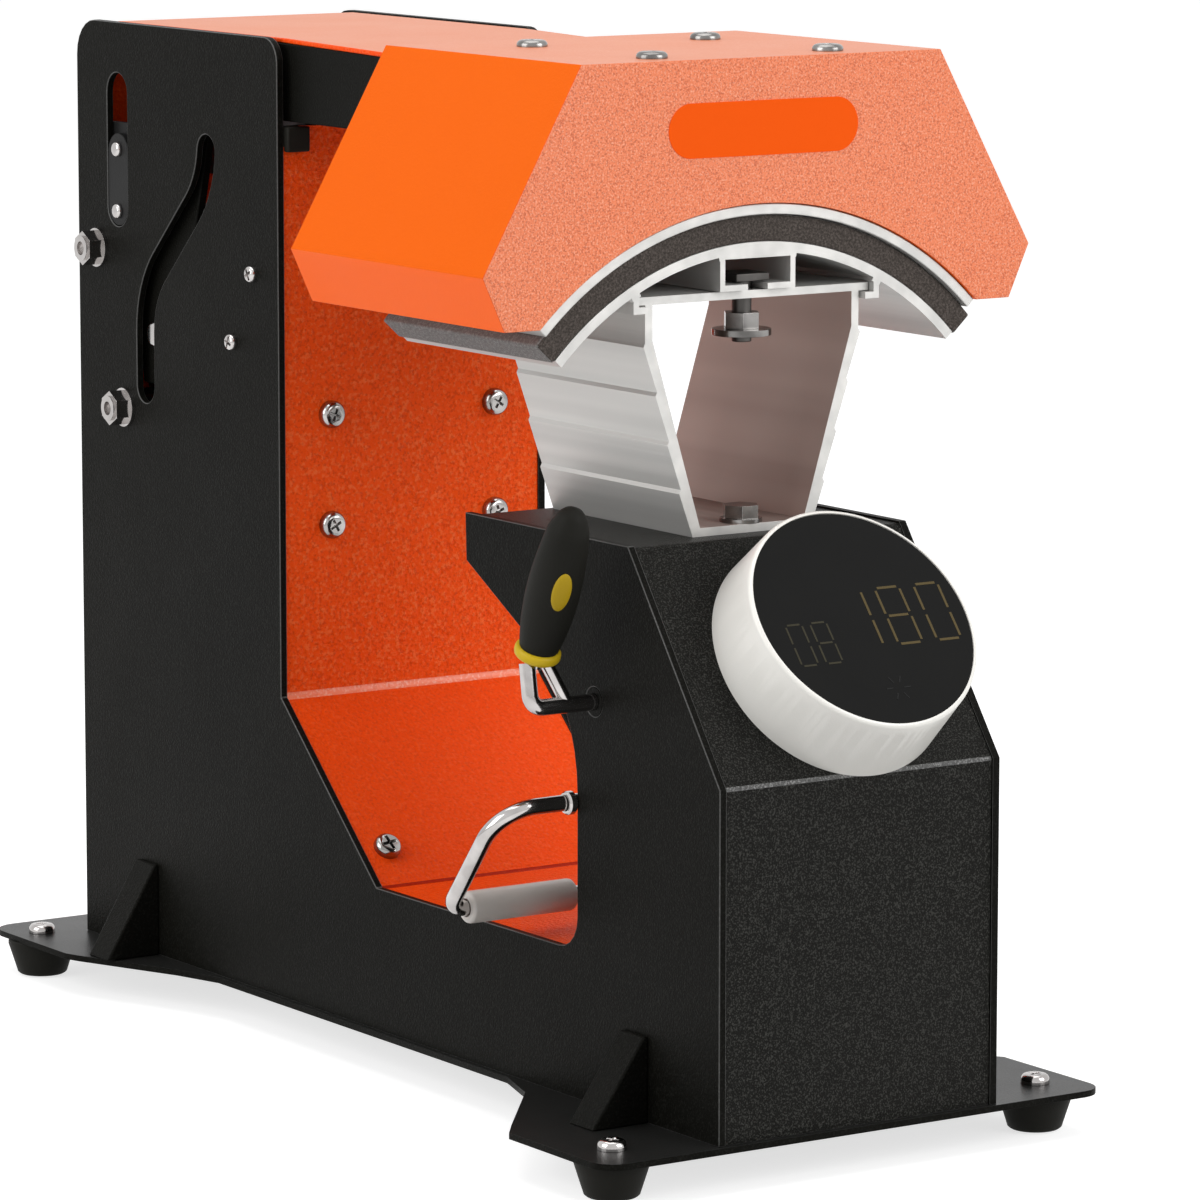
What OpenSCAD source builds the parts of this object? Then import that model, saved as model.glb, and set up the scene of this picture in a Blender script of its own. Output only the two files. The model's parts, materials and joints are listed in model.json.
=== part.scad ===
// Cap heat press: a sheet metal C frame carries a curved lower platen on a V shaped
// stand, and a heated head on a swing arm closes over it. The arm hangs on a pivot
// that slides in a vertical slot, and a wire bail with rollers tensions the cap.
// The origin is on the table top under the feet, midway along and across the press.
// +X is to the right of the operator, +Y points to the back, +Z points up.

/* [Frame] */
// Outside width over the two side plates
body_w = 102; // [96:1:120]
// Length of the side plates, from the front face to the rear edge
body_l = 380; // [378:1:400]
// Height of the column's top above the floor
column_top = 325.8; // [322:0.2:330]
// Thickness of the side plates
plate_t = 2.5; // [2:0.1:3]
// Thickness of the folded covers and panels
sheet_t = 1.5; // [1:0.1:2]
// Height of the table above the floor
table_top = 186.4; // [182:0.2:190]
// Distance of the table's front edge behind the front face
table_front = 48.4; // [44:0.2:52]
// Distance of the table's rear end behind the front face
table_rear = 137.8; // [134:0.2:142]
// Height at which the sloping control face meets the upright front
slope_foot = 120.3; // [116:0.1:124]
// Distance of the column's front edge behind the front face
column_front = 249.1; // [247:0.1:251]
// Distance of the pedestal's rear edge behind the front face
pedestal_rear = 75.4; // [73:0.1:78]
// Height of the throat's floor above the ground
throat_floor = 60; // [54:0.5:64]
// Height at which the throat's sloping back meets the column
throat_knee = 113; // [104:1:120]
// Distance of the slope's lower end behind the front face
throat_toe = 191; // [180:1:200]

/* [Base and feet] */
// Half width of the base plate at its front ears
ear_front = 92; // [88:1:98]
// Half width of the base plate at its rear ears
ear_rear = 76; // [72:1:84]
// Thickness of the base plate
base_t = 2; // [1.5:0.1:3]
// Height of the rubber feet
foot_h = 12; // [10:0.5:16]
// Upper diameter of the rubber feet
foot_d = 23; // [20:1:26]
// Height of the front gussets
gusset_h = 26.5; // [22:0.5:34]
// How much taller the rear gussets are
gusset_step = 4.5; // [0:0.5:8]
// Reach of the gussets on the base plate
gusset_w = 20; // [16:0.5:23]
// Length of the gussets along the side plates
gusset_l = 13; // [8:0.5:18]
// Wall of the gussets
gusset_t = 2; // [1.5:0.1:3]
// Distance of the gussets from the front and rear edges
gusset_front = 37; // [30:0.5:44]

/* [Head] */
// Half width of the head at its top
head_top_w = 65.2; // [60:0.2:70]
// Half width of the head at its widest
head_mid_w = 99.5; // [96:0.5:104]
// Half width of the head at its lower edge
head_low_w = 92; // [88:0.5:95]
// Height of the head's top above the floor
head_top = 329; // [327:0.5:332]
// Height of the head's widest line
head_mid = 268.3; // [264:0.5:272]
// Height of the head's lower edge
head_low = 252; // [250:0.5:254]
// Depth of the head from front to back
head_l = 108.3; // [104:0.1:112]
// Distance of the head's front behind the front face of the press
head_front = 51.6; // [50:0.1:53]
// Wall of the head's sheet metal shell
shell_t = 1.5; // [1:0.1:2]

/* [Platen] */
// Height of the axis of the pressing curve
curve_z = 174; // [172:0.5:176]
// Radius of the heater's pressing face
curve_r = 108; // [106:0.5:109]
// Thickness of the curved heater
heater_t = 3.2; // [2.5:0.1:4]
// Air left between the pressing face and the pad with the head closed
press_gap = 0.3; // [0.2:0.1:1]
// Thickness of the silicone pad
pad_t = 8; // [6:0.5:9]
// Thickness of the platen's curved wall
arc_t = 4.2; // [3.5:0.1:5]
// Half angle over which the platen curves
platen_angle = 47.3; // [44:0.1:50]
// Length of the platen and its pad from front to back
platen_l = 85.5; // [78:0.5:88]
// Distance of the platen's front behind the front face of the press
platen_front = 54.5; // [53:0.1:57]
// How far the platen slides forward off its stand
platen_travel = 90; // [80:1:100]
// Length of the stand from front to back
stand_l = 76; // [70:0.5:80]
// Distance of the stand's front behind the front face of the press
stand_front = 57; // [55:0.5:59]
// Half width of the stand at its foot
stand_foot_w = 21.7; // [18:0.1:26]
// Half width of the stand below its rails
stand_head_w = 39; // [36:0.2:40]
// Wall of the stand
stand_t = 2.6; // [2:0.1:3.2]
// Height of the stand's flat top above the floor
stand_top = 259; // [258:0.1:260]

/* [Arm and slots] */
// Distance of the upright slot behind the front face
slot_y = 353; // [351:0.5:355]
// Height of the upright slot's lower end
slot_low = 257.8; // [256:0.2:259]
// Length of the upright slot
slot_len = 51.2; // [50:0.2:54]
// Width of the upright slot
slot_w = 13.5; // [12:0.1:15]
// Height of the arm's pivot at rest
pivot_z = 283.5; // [282:0.5:285]
// Diameter of the pivot shaft
pivot_d = 10; // [8:0.5:11]
// How far the pivot rises as the head opens
lift = 20; // [16:0.5:20]
// Angle through which the head swings open
swing = 58; // [50:1:60]
// Width of the curved slot
cam_slot_w = 11.5; // [10:0.1:12.5]
// Height of the curved slot's lower end
cam_low = 206; // [202:0.5:210]
// Height of the cam shaft at rest
cam_z = 223; // [218:0.5:228]
// Diameter of the cam shaft
cam_d = 8; // [7:0.5:9]
// Thickness of the arm's side plates
arm_t = 3; // [2.5:0.1:3.4]
// Height of the arm's straight lower edge
arm_low = 299; // [296:0.5:302]
// Height of the arm's upper edge over the column
arm_top = 324; // [322:0.2:325]
// Fall of the arm's upper edge from the column to the head
arm_fall = 2; // [1:0.1:3]

/* [Controller] */
// Diameter of the round controller at its base
puck_d = 79; // [72:0.2:84]
// Diameter of the round controller at its face
puck_face_d = 76; // [70:0.5:82]
// Height of the round controller over the slope
puck_h = 23; // [20:0.5:30]
// Distance of the controller's centre down the slope
puck_down = 42.6; // [40:0.2:46]
// How much flatter the controller's face lies than the slope
puck_tilt = 3.5; // [0:0.5:6]
// Sideways offset of the controller
puck_x = 4.5; // [-6:0.5:6]
// Diameter of the display glass
glass_d = 73.2; // [66:0.2:74]

/* [Tensioner] */
// Diameter of the chromed wire
wire_d = 5; // [4:0.2:5.4]
// Distance of the lever's axle behind the front face
lever_y = 66.2; // [64:0.2:68]
// Height of the lever's axle
lever_z = 137.4; // [134:0.2:140]
// Half width at which the lever stands beside the press
lever_x = 73.5; // [72:0.5:76]
// Length of the rubber grip
grip_l = 55; // [48:1:62]
// Largest diameter of the rubber grip
grip_d = 19; // [16:0.5:19]
// Forward tilt of the grip at rest
grip_tilt = 23.6; // [15:0.1:30]
// Distance of the bail's axle behind the pedestal's rear edge
bail_gap = 3.2; // [3:0.1:4]
// Height of the bail's axle
bail_z = 105; // [102:0.5:107]
// Bend radius of the bail beside its axle
bail_bend = 13; // [8:0.5:16]
// Bend radius of the bail beside its crossbar
bar_bend = 6; // [5:0.5:8]
// Half width of the wire bail
bail_x = 77; // [75:0.5:82]
// Distance of the bail's crossbar behind the front face
bar_y = 107; // [104:0.5:110]
// Height of the bail's crossbar
bar_z = 70; // [68:0.5:74]
// Diameter of the rollers on the bail
roller_d = 10; // [9:0.5:12]
// Length of each roller
roller_l = 43; // [36:1:46]
// Length of the two cranks that join lever and bail
crank_l = 16; // [12:0.5:18]
// Angle of the cranks at rest, measured from the backward direction
crank_angle = 163; // [150:1:175]

/* [Fits] */
// Radial clearance of running shafts
run_gap = 0.05; // [0.02:0.01:0.1]
// Clearance beside sliding plates
side_gap = 0.2; // [0.1:0.05:0.4]

/* [Hidden] */
$fn = 48;

// Planes and lines that several parts share
hw = body_w / 2;
iw = hw - plate_t;
base_top = foot_h + base_t;
inset = 0.6;
bar_u = slot_y;
seat_z = table_top - inset;
slope_angle = atan2(seat_z - slope_foot, table_front - inset);
puck_u = table_front - puck_down * cos(slope_angle);
puck_z = seat_z - puck_down * sin(slope_angle);
puck_edge = 1.2;
puck_reach = [puck_h - puck_edge, puck_face_d / 2 - puck_edge];
face_angle = slope_angle - puck_tilt;
puck_sink = puck_d / 2 * sin(puck_tilt) + 0.5;
puck_front = puck_u - puck_edge - puck_reach * [sin(face_angle), cos(face_angle)];
base_front = -1.5;
base_back = body_l + 24;
front_y = -(base_back + min(puck_front, base_front)) / 2;

// Sheet metal colours
black = [0.07, 0.07, 0.07];
orange = [0.93, 0.33, 0.09];
steel = [0.75, 0.75, 0.77];
alu = [0.82, 0.82, 0.83];

// Arm plates run between the side plates
arm_x1 = iw - 2.5;
arm_x0 = arm_x1 - arm_t;
arm_rear = slot_y + 15;
head_rear = head_front + head_l;
flange_x0 = arm_x1 + side_gap;
flange_x1 = iw - side_gap;

// Tie rods and the bolts that hold them
tie_d = 12;
tie_a = [slot_y + 13.1, 249.8];
tie_b = [slot_y - 4.1, 197.6];
bolt_d = 6;
clip_a = [column_front + 15.7, 249.2];
clip_b = [column_front + 28.7, 226];

// Depth of the mains inlet behind the rear cover
inlet_depth = 18;

// Slider and cam
slider_len = slot_len - lift - 0.4;
slider_low = slot_low + 0.2;
slider_w = slot_w - 2 * 0.1;
pin_low = pivot_z - 20.6;
cam_y = slot_y - 17.5;
cam_lean = 46.5;
cam_turn = 31;
cam_rise = 18;
cam_run = 30;

// Bail and lever linkage
bail_y = pedestal_rear + bail_gap;
grip_foot = 15;
bearing_d = 2 * (bail_gap + 0.7);

// Electromagnet under the arm
magnet_y = slot_y - 41;
magnet_d = 34;
armature_z = cam_z - 17;
magnet_shelf = 160;
screw_x = 31.3;
screw_rows = [168, 204];

// Lift springs
spring_x = 25;
spring_d = 14;
shelf_z = 240;
saddle_low = pivot_z - 9;

// Head fixing
hanger_x = 32;
hanger_y = [head_front + 12.4, head_front + 77.4];
arm_head = arm_top - arm_fall;

// Stand and clamp
clamp_y = stand_front + 6;
rail_w = 42.5;
rail_t = 2.4;
channel_w = 13.7;
channel_h = 7.6;
channel_z = stand_top + press_gap;

function unit(v) = v / norm(v);
function arc(c, r, a0, a1, n = 8) =
  [for (i = [0:n]) let (a = a0 + (a1 - a0) * i / n) c + r * [cos(a), sin(a)]];

// Replace the inner corners of an open line by arcs
function corner(a, b, c, r, n) =
  let (
    d1 = unit(b - a),
    d2 = unit(c - b),
    turn = acos(d1 * d2),
    side = sign(cross(d1, d2)),
    s = b - d1 * r * tan(turn / 2),
    m = s + side * r * [-d1[1], d1[0]],
    a0 = atan2(s[1] - m[1], s[0] - m[0])
  ) [for (i = [0:n]) let (t = a0 + side * turn * i / n) m + r * [cos(t), sin(t)]];
function rounded(p, r, n = 4) =
  [p[0], for (i = [1:len(p) - 2]) each corner(p[i - 1], p[i], p[i + 1], r, n), p[len(p) - 1]];

// Outline of a folded sheet of thickness t to the right of an open line
function right_of(a, b) = let (d = unit(b - a)) [d[1], -d[0]];
function beside(p, t) =
  [for (i = [0:len(p) - 1])
    let (
      n2 = i < len(p) - 1 ? right_of(p[i], p[i + 1]) : right_of(p[i - 1], p[i]),
      n1 = i > 0 ? right_of(p[i - 1], p[i]) : n2
    ) p[i] + t * (n1 + n2) / (1 + n1 * n2)];
function folded(p, t) = let (q = beside(p, t)) concat(p, [for (i = [len(q) - 1:-1:0]) q[i]]);

// Centre line of the curved slot, as [place, lean from upright]
function cam_line() =
  let (
    p1 = [cam_y, cam_low + cam_rise],
    m1 = p1 - [cam_turn, 0],
    p2 = m1 + cam_turn * [cos(cam_lean), sin(cam_lean)],
    p3 = p2 + cam_run * [-sin(cam_lean), cos(cam_lean)],
    m2 = p3 + cam_turn * [cos(cam_lean), sin(cam_lean)]
  ) concat(
    [[[cam_y, cam_low], 0]],
    [for (i = [0:8]) let (a = cam_lean * i / 8) [m1 + cam_turn * [cos(a), sin(a)], a]],
    [for (i = [8:-1:1]) let (a = cam_lean * i / 8) [m2 - cam_turn * [cos(a), sin(a)], a]]
  );

// Solids along the three directions, drawn in [distance behind the front face, height]
module along_x(x0, x1) {
  translate([x0, front_y, 0])
    rotate([90, 0, 90])
      linear_extrude(x1 - x0)
        children();
}
module along_y(u0, u1) {
  translate([0, front_y + u1, 0])
    rotate([90, 0, 0])
      linear_extrude(u1 - u0)
        children();
}
module rod_x(x0, x1, at, d) {
  translate([x0, front_y + at[0], at[1]])
    rotate([0, 90, 0])
      cylinder(h = x1 - x0, d = d);
}
module rod_z(x, u, z0, z1, d) {
  translate([x, front_y + u, z0])
    cylinder(h = z1 - z0, d = d);
}
module block(x0, x1, u0, u1, z0, z1) {
  translate([x0, front_y + u0, z0])
    cube([x1 - x0, u1 - u0, z1 - z0]);
}
module both_sides() {
  children();
  mirror([1, 0, 0]) children();
}

// Round wire of diameter d through points p, bent with the radii r at the inner ones
module wire(p, d, r) {
  n = len(p) - 1;
  function turn(i) = acos(max(-1, min(1, unit(p[i] - p[i - 1]) * unit(p[i + 1] - p[i]))));
  function trim(i) = i == 0 || i == n ? 0 : r[i - 1] * tan(turn(i) / 2);
  for (i = [0:n - 1]) {
    along = unit(p[i + 1] - p[i]);
    a = p[i] + along * trim(i);
    len = norm(p[i + 1] - p[i]) - trim(i) - trim(i + 1);
    translate(a)
      rotate([0, acos(along[2]), atan2(along[1], along[0])])
        cylinder(h = len, d = d, $fn = 32);
  }
  for (i = [1:n - 1]) {
    d1 = unit(p[i] - p[i - 1]);
    d2 = unit(p[i + 1] - p[i]);
    inward = unit(d2 - d1 * (d1 * d2));
    m = p[i] - d1 * trim(i) + inward * r[i - 1];
    e3 = cross(-inward, d1);
    multmatrix([
      [-inward[0], d1[0], e3[0], m[0]],
      [-inward[1], d1[1], e3[1], m[1]],
      [-inward[2], d1[2], e3[2], m[2]],
      [0, 0, 0, 1]])
      rotate_extrude(angle = turn(i))
        translate([r[i - 1], 0])
          circle(d = d, $fn = 32);
  }
}

// Pan head screw standing on z = 0 with its shank below
module pan_screw(head_d, head_h, shank_d, shank_l) {
  rotate_extrude()
    polygon(concat(
      [[0, -shank_l], [shank_d / 2, -shank_l], [shank_d / 2, 0], [head_d / 2, 0]],
      [for (i = [0:5]) let (a = 80 * i / 5)
        [head_d / 2 * (0.62 + 0.38 * cos(a)), head_h * (0.3 + 0.7 * sin(a) / sin(80))]],
      [[0, head_h]]));
}
module hex_nut(across, h, bore) {
  difference() {
    cylinder(h = h, d = across / cos(30), $fn = 6);
    translate([0, 0, -1])
      cylinder(h = h + 2, d = bore);
  }
}

// Base plate, feet and gussets
module base_outline() {
  half = concat(
    arc([ear_front - 8, front_y + base_front + 8], 8, -90, 0, 5),
    [[ear_front, front_y + 50], [ear_front - 6, front_y + 58]],
    [[hw + 8, front_y + 92], [hw + 1.6, front_y + 112]],
    [[hw + 1.6, front_y + body_l - 92], [hw + 7, front_y + body_l - 74]],
    [[ear_rear - 2, front_y + body_l - 36], [ear_rear, front_y + body_l - 30]],
    arc([ear_rear - 9, front_y + base_back - 9], 9, 0, 90, 5));
  polygon(concat(half, [for (i = [len(half) - 1:-1:0]) [-half[i][0], half[i][1]]]));
}
function foot_places() = [
  for (s = [-1, 1]) each [[s * (ear_front - 14), 16], [s * (ear_rear - 10.5), body_l + 5.5]]];
module base_plate() {
  color(black)
    difference() {
      translate([0, 0, foot_h])
        linear_extrude(base_t)
          base_outline();
      for (p = foot_places())
        rod_z(p[0], p[1], foot_h - 1, base_top + 1, 5.4);
    }
}
module rubber_feet() {
  color([0.05, 0.05, 0.05])
    for (p = foot_places())
      translate([p[0], front_y + p[1], 0])
        rotate_extrude()
          polygon(concat(
            [[2.7, 4], [6, 4], [6, 0]],
            [[foot_d / 2 - 4, 0], [foot_d / 2 - 3.1, 0.8], [foot_d / 2, foot_h - 1.5]],
            [[foot_d / 2, foot_h], [2.7, foot_h]]));
}
module foot_screws() {
  color(steel)
    for (p = foot_places())
      translate([p[0], front_y + p[1], 0]) {
        translate([0, 0, base_top])
          pan_screw(9, 3, 5, base_top - 3);
        translate([0, 0, 1.2])
          hex_nut(8, 2.8, 5);
      }
}
module gussets() {
  color(black)
    both_sides()
      for (g = [[gusset_front, gusset_h], [body_l - gusset_front - gusset_l, gusset_h + gusset_step]])
        difference() {
          along_y(g[0], g[0] + gusset_l)
            polygon([
              [hw, base_top],
              [hw + gusset_w, base_top],
              [hw + 1.5, base_top + g[1]],
              [hw, base_top + g[1]]]);
          along_y(g[0] + gusset_t, g[0] + gusset_l - gusset_t)
            polygon([
              [hw - 1, base_top - 1],
              [hw + gusset_w - 1.4 * gusset_t, base_top - 1],
              [hw - 0.5, base_top + g[1] - gusset_t],
              [hw - 1, base_top + g[1] - gusset_t]]);
        }
}

// Side plates
function throat_line() = concat(
  [[column_front, throat_knee], [throat_toe, throat_floor]],
  arc([pedestal_rear + 10, throat_floor + 10], 10, -90, -180, 5),
  arc([pedestal_rear + 50, 108], 50, 180, 114, 9),
  [[table_rear - 0.5, 171.6]]);
module side_outline() {
  polygon(concat(
    [[0, base_top], [body_l, base_top]],
    arc([body_l - 12, column_top - 12], 12, 0, 90, 6),
    arc([column_front + 8, column_top - 8], 8, 90, 180, 6),
    throat_line(),
    [[table_rear, table_top], [table_front, table_top], [0, slope_foot]]));
}
module upright_slot(w, len) {
  translate([slot_y - w / 2, slot_low + (slot_w - w) / 2 + w / 2])
    square([w, len - w]);
  for (z = [w / 2, len - w / 2])
    translate([slot_y, slot_low + (slot_w - w) / 2 + z])
      circle(d = w);
}
module curved_slot(w) {
  line = cam_line();
  function edge(s) = [for (q = line) q[0] + s * w / 2 * [cos(q[1]), sin(q[1])]];
  left = edge(-1);
  right = edge(1);
  polygon(concat(left, [for (i = [len(right) - 1:-1:0]) right[i]]));
  for (i = [0, len(line) - 1])
    translate(line[i][0])
      circle(d = w);
}
module side_plate() {
  along_x(iw, hw)
    difference() {
      side_outline();
      upright_slot(slot_w, slot_len);
      curved_slot(cam_slot_w);
      for (p = [tie_a, tie_b])
        translate(p)
          circle(d = bolt_d + 0.4);
      for (p = [clip_a, clip_b])
        translate(p)
          circle(d = 3.2);
      translate([lever_y, lever_z])
        circle(d = wire_d + 4);
    }
}
module right_side_plate() {
  color(black)
    side_plate();
}
module left_side_plate() {
  color(black)
    mirror([1, 0, 0])
      side_plate();
}

// Folded covers between the side plates
function liner_line() =
  let (u = column_front + inset, z = throat_floor - inset)
    rounded([[u, arm_low - 1.5], [u, throat_knee], [throat_toe, z],
      [pedestal_rear + inset, z]], 3);
slope_dir = unit([column_front + inset - throat_toe, throat_knee - throat_floor + inset]);
slope_screw = [throat_toe, throat_floor - inset] + 15.5 * slope_dir;
stop_x = arm_x0 - 1;
stop_z = arm_low - 8;
stop_gap = 1.5;
module throat_liner() {
  color(orange)
    difference() {
      along_x(-iw, iw)
        polygon(folded(liner_line(), -sheet_t));
      both_sides()
        block(stop_x, hw, column_front - 1, column_front + 9, stop_z, arm_low + 1);
      for (x = [-screw_x, screw_x], z = screw_rows)
        translate([x, front_y + column_front + 9, z])
          rotate([90, 0, 0])
            cylinder(h = 18, d = 5.2);
      for (x = [-40, 40])
        translate([x, front_y + slope_screw[0], slope_screw[1]])
          rotate([atan2(slope_dir[1], slope_dir[0]), 0, 0])
            translate([0, 0, -8])
              cylinder(h = 16, d = 5.2);
    }
}
module arm_stops() {
  groove = [column_front + inset - 0.05, column_front + inset + sheet_t + 0.05];
  color([0.08, 0.08, 0.09])
    both_sides()
      difference() {
        block(stop_x - 2, iw - side_gap, column_front - 2.4, column_front + 5,
          stop_z - 1.6, arm_low - stop_gap);
        block(stop_x - 3, stop_x, groove[0], groove[1], stop_z - 3, arm_low);
        block(stop_x - 1, iw, groove[0], groove[1], stop_z - 3, stop_z);
      }
}
module liner_screws() {
  color(steel) {
    for (x = [-screw_x, screw_x], z = screw_rows)
      translate([x, front_y + column_front + inset, z])
        rotate([90, 0, 0])
          pan_screw(9, 3.2, 5, 9);
    for (x = [-40, 40])
      translate([x, front_y + slope_screw[0], slope_screw[1]])
        rotate([atan2(slope_dir[1], slope_dir[0]), 0, 0])
          pan_screw(9, 3.2, 5, 7);
  }
}
module front_cover() {
  line = rounded([
    [table_rear - inset, 173],
    [table_rear - inset, seat_z],
    [table_front, seat_z],
    [inset, slope_foot],
    [inset, base_top]], 2.2);
  color([0.1, 0.1, 0.1])
    difference() {
      along_x(-iw, iw)
        polygon(folded(line, -sheet_t));
      for (u = [clamp_y, clamp_y + 50])
        rod_z(0, u, seat_z - 4, seat_z + 4, 6.4);
      puck_frame()
        translate([0, 0, -8])
          cylinder(h = 16, d = 14);
    }
}
module pedestal_back() {
  line = concat(
    [[pedestal_rear - 0.8, throat_floor - 2]],
    arc([pedestal_rear + 50, 108], 50.8, 180, 114, 9),
    [[table_rear - 3, 170.5]]);
  color(black)
    difference() {
      along_x(-iw, iw)
        polygon(folded(line, -1.2));
      block(-5, 8, pedestal_rear - 5, pedestal_rear + 4, bail_z - 24, bail_z + 16);
    }
}
module rear_cover() {
  color(orange)
    difference() {
      block(-iw, iw, body_l - sheet_t, body_l, base_top, slot_low + 18);
      block(-14, 14, body_l - 9, body_l + 9, 34, 54);
      block(-10, 10, body_l - 9, body_l + 9, 66, 79.4);
      for (x = [-30:10:30], z = [110, 132])
        block(x - 1.5, x + 1.5, body_l - 9, body_l + 9, z, z + 16);
    }
}

// Small plate riveted inside the left side plate, and its two screws
module cable_clip() {
  color(steel)
    difference() {
      block(-iw, -iw + 1.2, clip_a[0] - 6, clip_b[0] + 6, clip_b[1] - 7, clip_a[1] + 7);
      for (p = [clip_a, clip_b])
        rod_x(-iw - 1, -iw + 3, p, 3.2);
    }
}
module side_screws() {
  color(steel)
    for (p = [clip_a, clip_b])
      translate([-hw, front_y + p[0], p[1]])
        rotate([0, -90, 0])
          pan_screw(5.6, 2.2, 3, plate_t + 1.2);
}

// Tie rods across the column, with a bolt and washer at each end
module tie_rods() {
  color(steel)
    for (p = [tie_a, tie_b])
      difference() {
        rod_x(-iw, iw, p, tie_d);
        both_sides()
          rod_x(iw - 14, iw + 1, p, bolt_d);
      }
}
module side_bolts() {
  color(steel)
    both_sides()
      for (p = [tie_a, tie_b]) {
        difference() {
          rod_x(hw, hw + 1.4, p, 13);
          rod_x(hw - 1, hw + 3, p, bolt_d);
        }
        difference() {
          union() {
            rod_x(hw - plate_t - 12, hw + 1.4, p, bolt_d);
            translate([hw + 1.4, front_y + p[0], p[1]])
              rotate([0, 90, 0])
                cylinder(h = 5, d = 10 / cos(30), $fn = 6);
            rod_x(hw + 6.4, hw + 7.2, p, 8.4);
          }
          rod_x(hw + 5.4, hw + 9, p, 4.6);
        }
      }
}

// Shelf that carries the lift springs, hung on the two tie rods
module spring_shelf() {
  cheek = 36;
  color(steel)
    difference() {
      union() {
        block(-cheek, cheek, slot_y - 9, slot_y + 9, shelf_z - 2.5, shelf_z);
        both_sides()
          along_x(cheek - 2, cheek)
            polygon(concat(
              arc(tie_a, 10, -60, 110, 8),
              [[slot_y - 9, shelf_z + 6], [slot_y - 9, shelf_z - 6]],
              arc(tie_b, 9, 160, 340, 8)));
        for (x = [-spring_x, spring_x])
          rod_z(x, slot_y, shelf_z - 1, shelf_z + 8, 8);
      }
      for (p = [tie_a, tie_b])
        rod_x(-hw, hw, p, tie_d + 0.02);
    }
}
module lift_springs() {
  color(steel)
    for (x = [-spring_x, spring_x])
      difference() {
        rod_z(x, slot_y, shelf_z, saddle_low, spring_d);
        rod_z(x, slot_y, shelf_z - 1, saddle_low + 1, spring_d - 3.6);
      }
}

// Holding magnet and the switch that feels the arm close
module magnet_bracket() {
  back = column_front + inset + sheet_t;
  color(steel)
    difference() {
      union() {
        block(-38, 38, back, back + 2.5, magnet_shelf - 3, 213);
        block(-24, 24, back, magnet_y + 24, magnet_shelf - 3, magnet_shelf);
        both_sides()
          along_x(24, 26.5)
            polygon([
              [back, magnet_shelf - 3], [magnet_y + 24, magnet_shelf - 3],
              [magnet_y + 24, magnet_shelf + 1], [back, 204]]);
        block(24, 26.5, magnet_y + 8, magnet_y + 24, magnet_shelf, 199);
      }
      for (x = [-screw_x, screw_x], z = screw_rows)
        translate([x, front_y + back + 9, z])
          rotate([90, 0, 0])
            cylinder(h = 18, d = 5);
      rod_z(0, magnet_y, magnet_shelf - 9, magnet_shelf + 9, 6);
    }
}
module electromagnet() {
  color([0.55, 0.55, 0.58])
    translate([0, front_y + magnet_y, 0])
      rotate_extrude()
        polygon([
          [0, magnet_shelf - 3 - 6], [3, magnet_shelf - 3 - 6], [3, magnet_shelf],
          [magnet_d / 2, magnet_shelf], [magnet_d / 2, armature_z - press_gap],
          [magnet_d / 2 - 3, armature_z - press_gap],
          [magnet_d / 2 - 3, armature_z - press_gap - 0.8],
          [7, armature_z - press_gap - 0.8], [7, armature_z - press_gap],
          [0, armature_z - press_gap]]);
}
module closing_switch() {
  u = magnet_y + 16;
  color([0.12, 0.12, 0.13]) {
    block(26.5, 33, u - 8, u + 8, 182, 196);
    block(28.5, 31, u - 1.5, u + 1.5, 196, armature_z - press_gap);
  }
}

// Mains board at the foot of the column
board_u = [column_front + 13, body_l - inlet_depth - 4];
board_w = iw - 10.5;
function standoff_places() =
  [for (x = [-board_w + 4, board_w - 4], u = [board_u[0] + 6, board_u[1] - 6]) [x, u]];
module board_standoffs() {
  color(steel)
    for (p = standoff_places())
      rod_z(p[0], p[1], base_top, base_top + 8, 6);
}
module control_board() {
  z = base_top + 8;
  l = board_u[1] - board_u[0];
  function at(t) = board_u[0] + t * l;
  color([0.1, 0.35, 0.15]) {
    block(-board_w, board_w, board_u[0], board_u[1], z, z + 1.6);
    block(-30, -10, at(0.12), at(0.34), z + 1.6, z + 17);
    block(-6, 22, at(0.10), at(0.44), z + 1.6, z + 22);
    block(-30, -4, at(0.58), at(0.88), z + 1.6, z + 14);
    for (t = [0.62, 0.80])
      rod_z(14, at(t), z + 1.6, z + 20, 12);
  }
}

// Inlet and power switch on the back
module power_inlet() {
  color([0.06, 0.06, 0.06])
    difference() {
      union() {
        block(-13.8, 13.8, body_l - inlet_depth, body_l, 34.2, 53.8);
        block(-25, 25, body_l, body_l + 3, 31, 57);
      }
      block(-12, 12, body_l - 13, body_l + 4, 36.5, 51.5);
    }
  color(steel) {
    for (x = [-7, 0, 7])
      block(x - 1, x + 1, body_l - 14, body_l - 2, x == 0 ? 45 : 40, x == 0 ? 49 : 44);
    for (x = [-20, 20])
      translate([x, front_y + body_l + 3, 44])
        rotate([-90, 0, 0])
          pan_screw(5.5, 1.6, 3, 3);
  }
}
module switch_housing() {
  color([0.06, 0.06, 0.06])
    difference() {
      union() {
        block(-9.8, 9.8, body_l - 14, body_l, 66.2, 79.2);
        block(-11.5, 11.5, body_l, body_l + 2, 64.5, 81);
      }
      block(-8, 8, body_l - 9, body_l + 3, 67.5, 78);
    }
  color(steel)
    rod_x(-8, 8, [body_l - 3, 72.75], 1.6);
}
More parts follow.
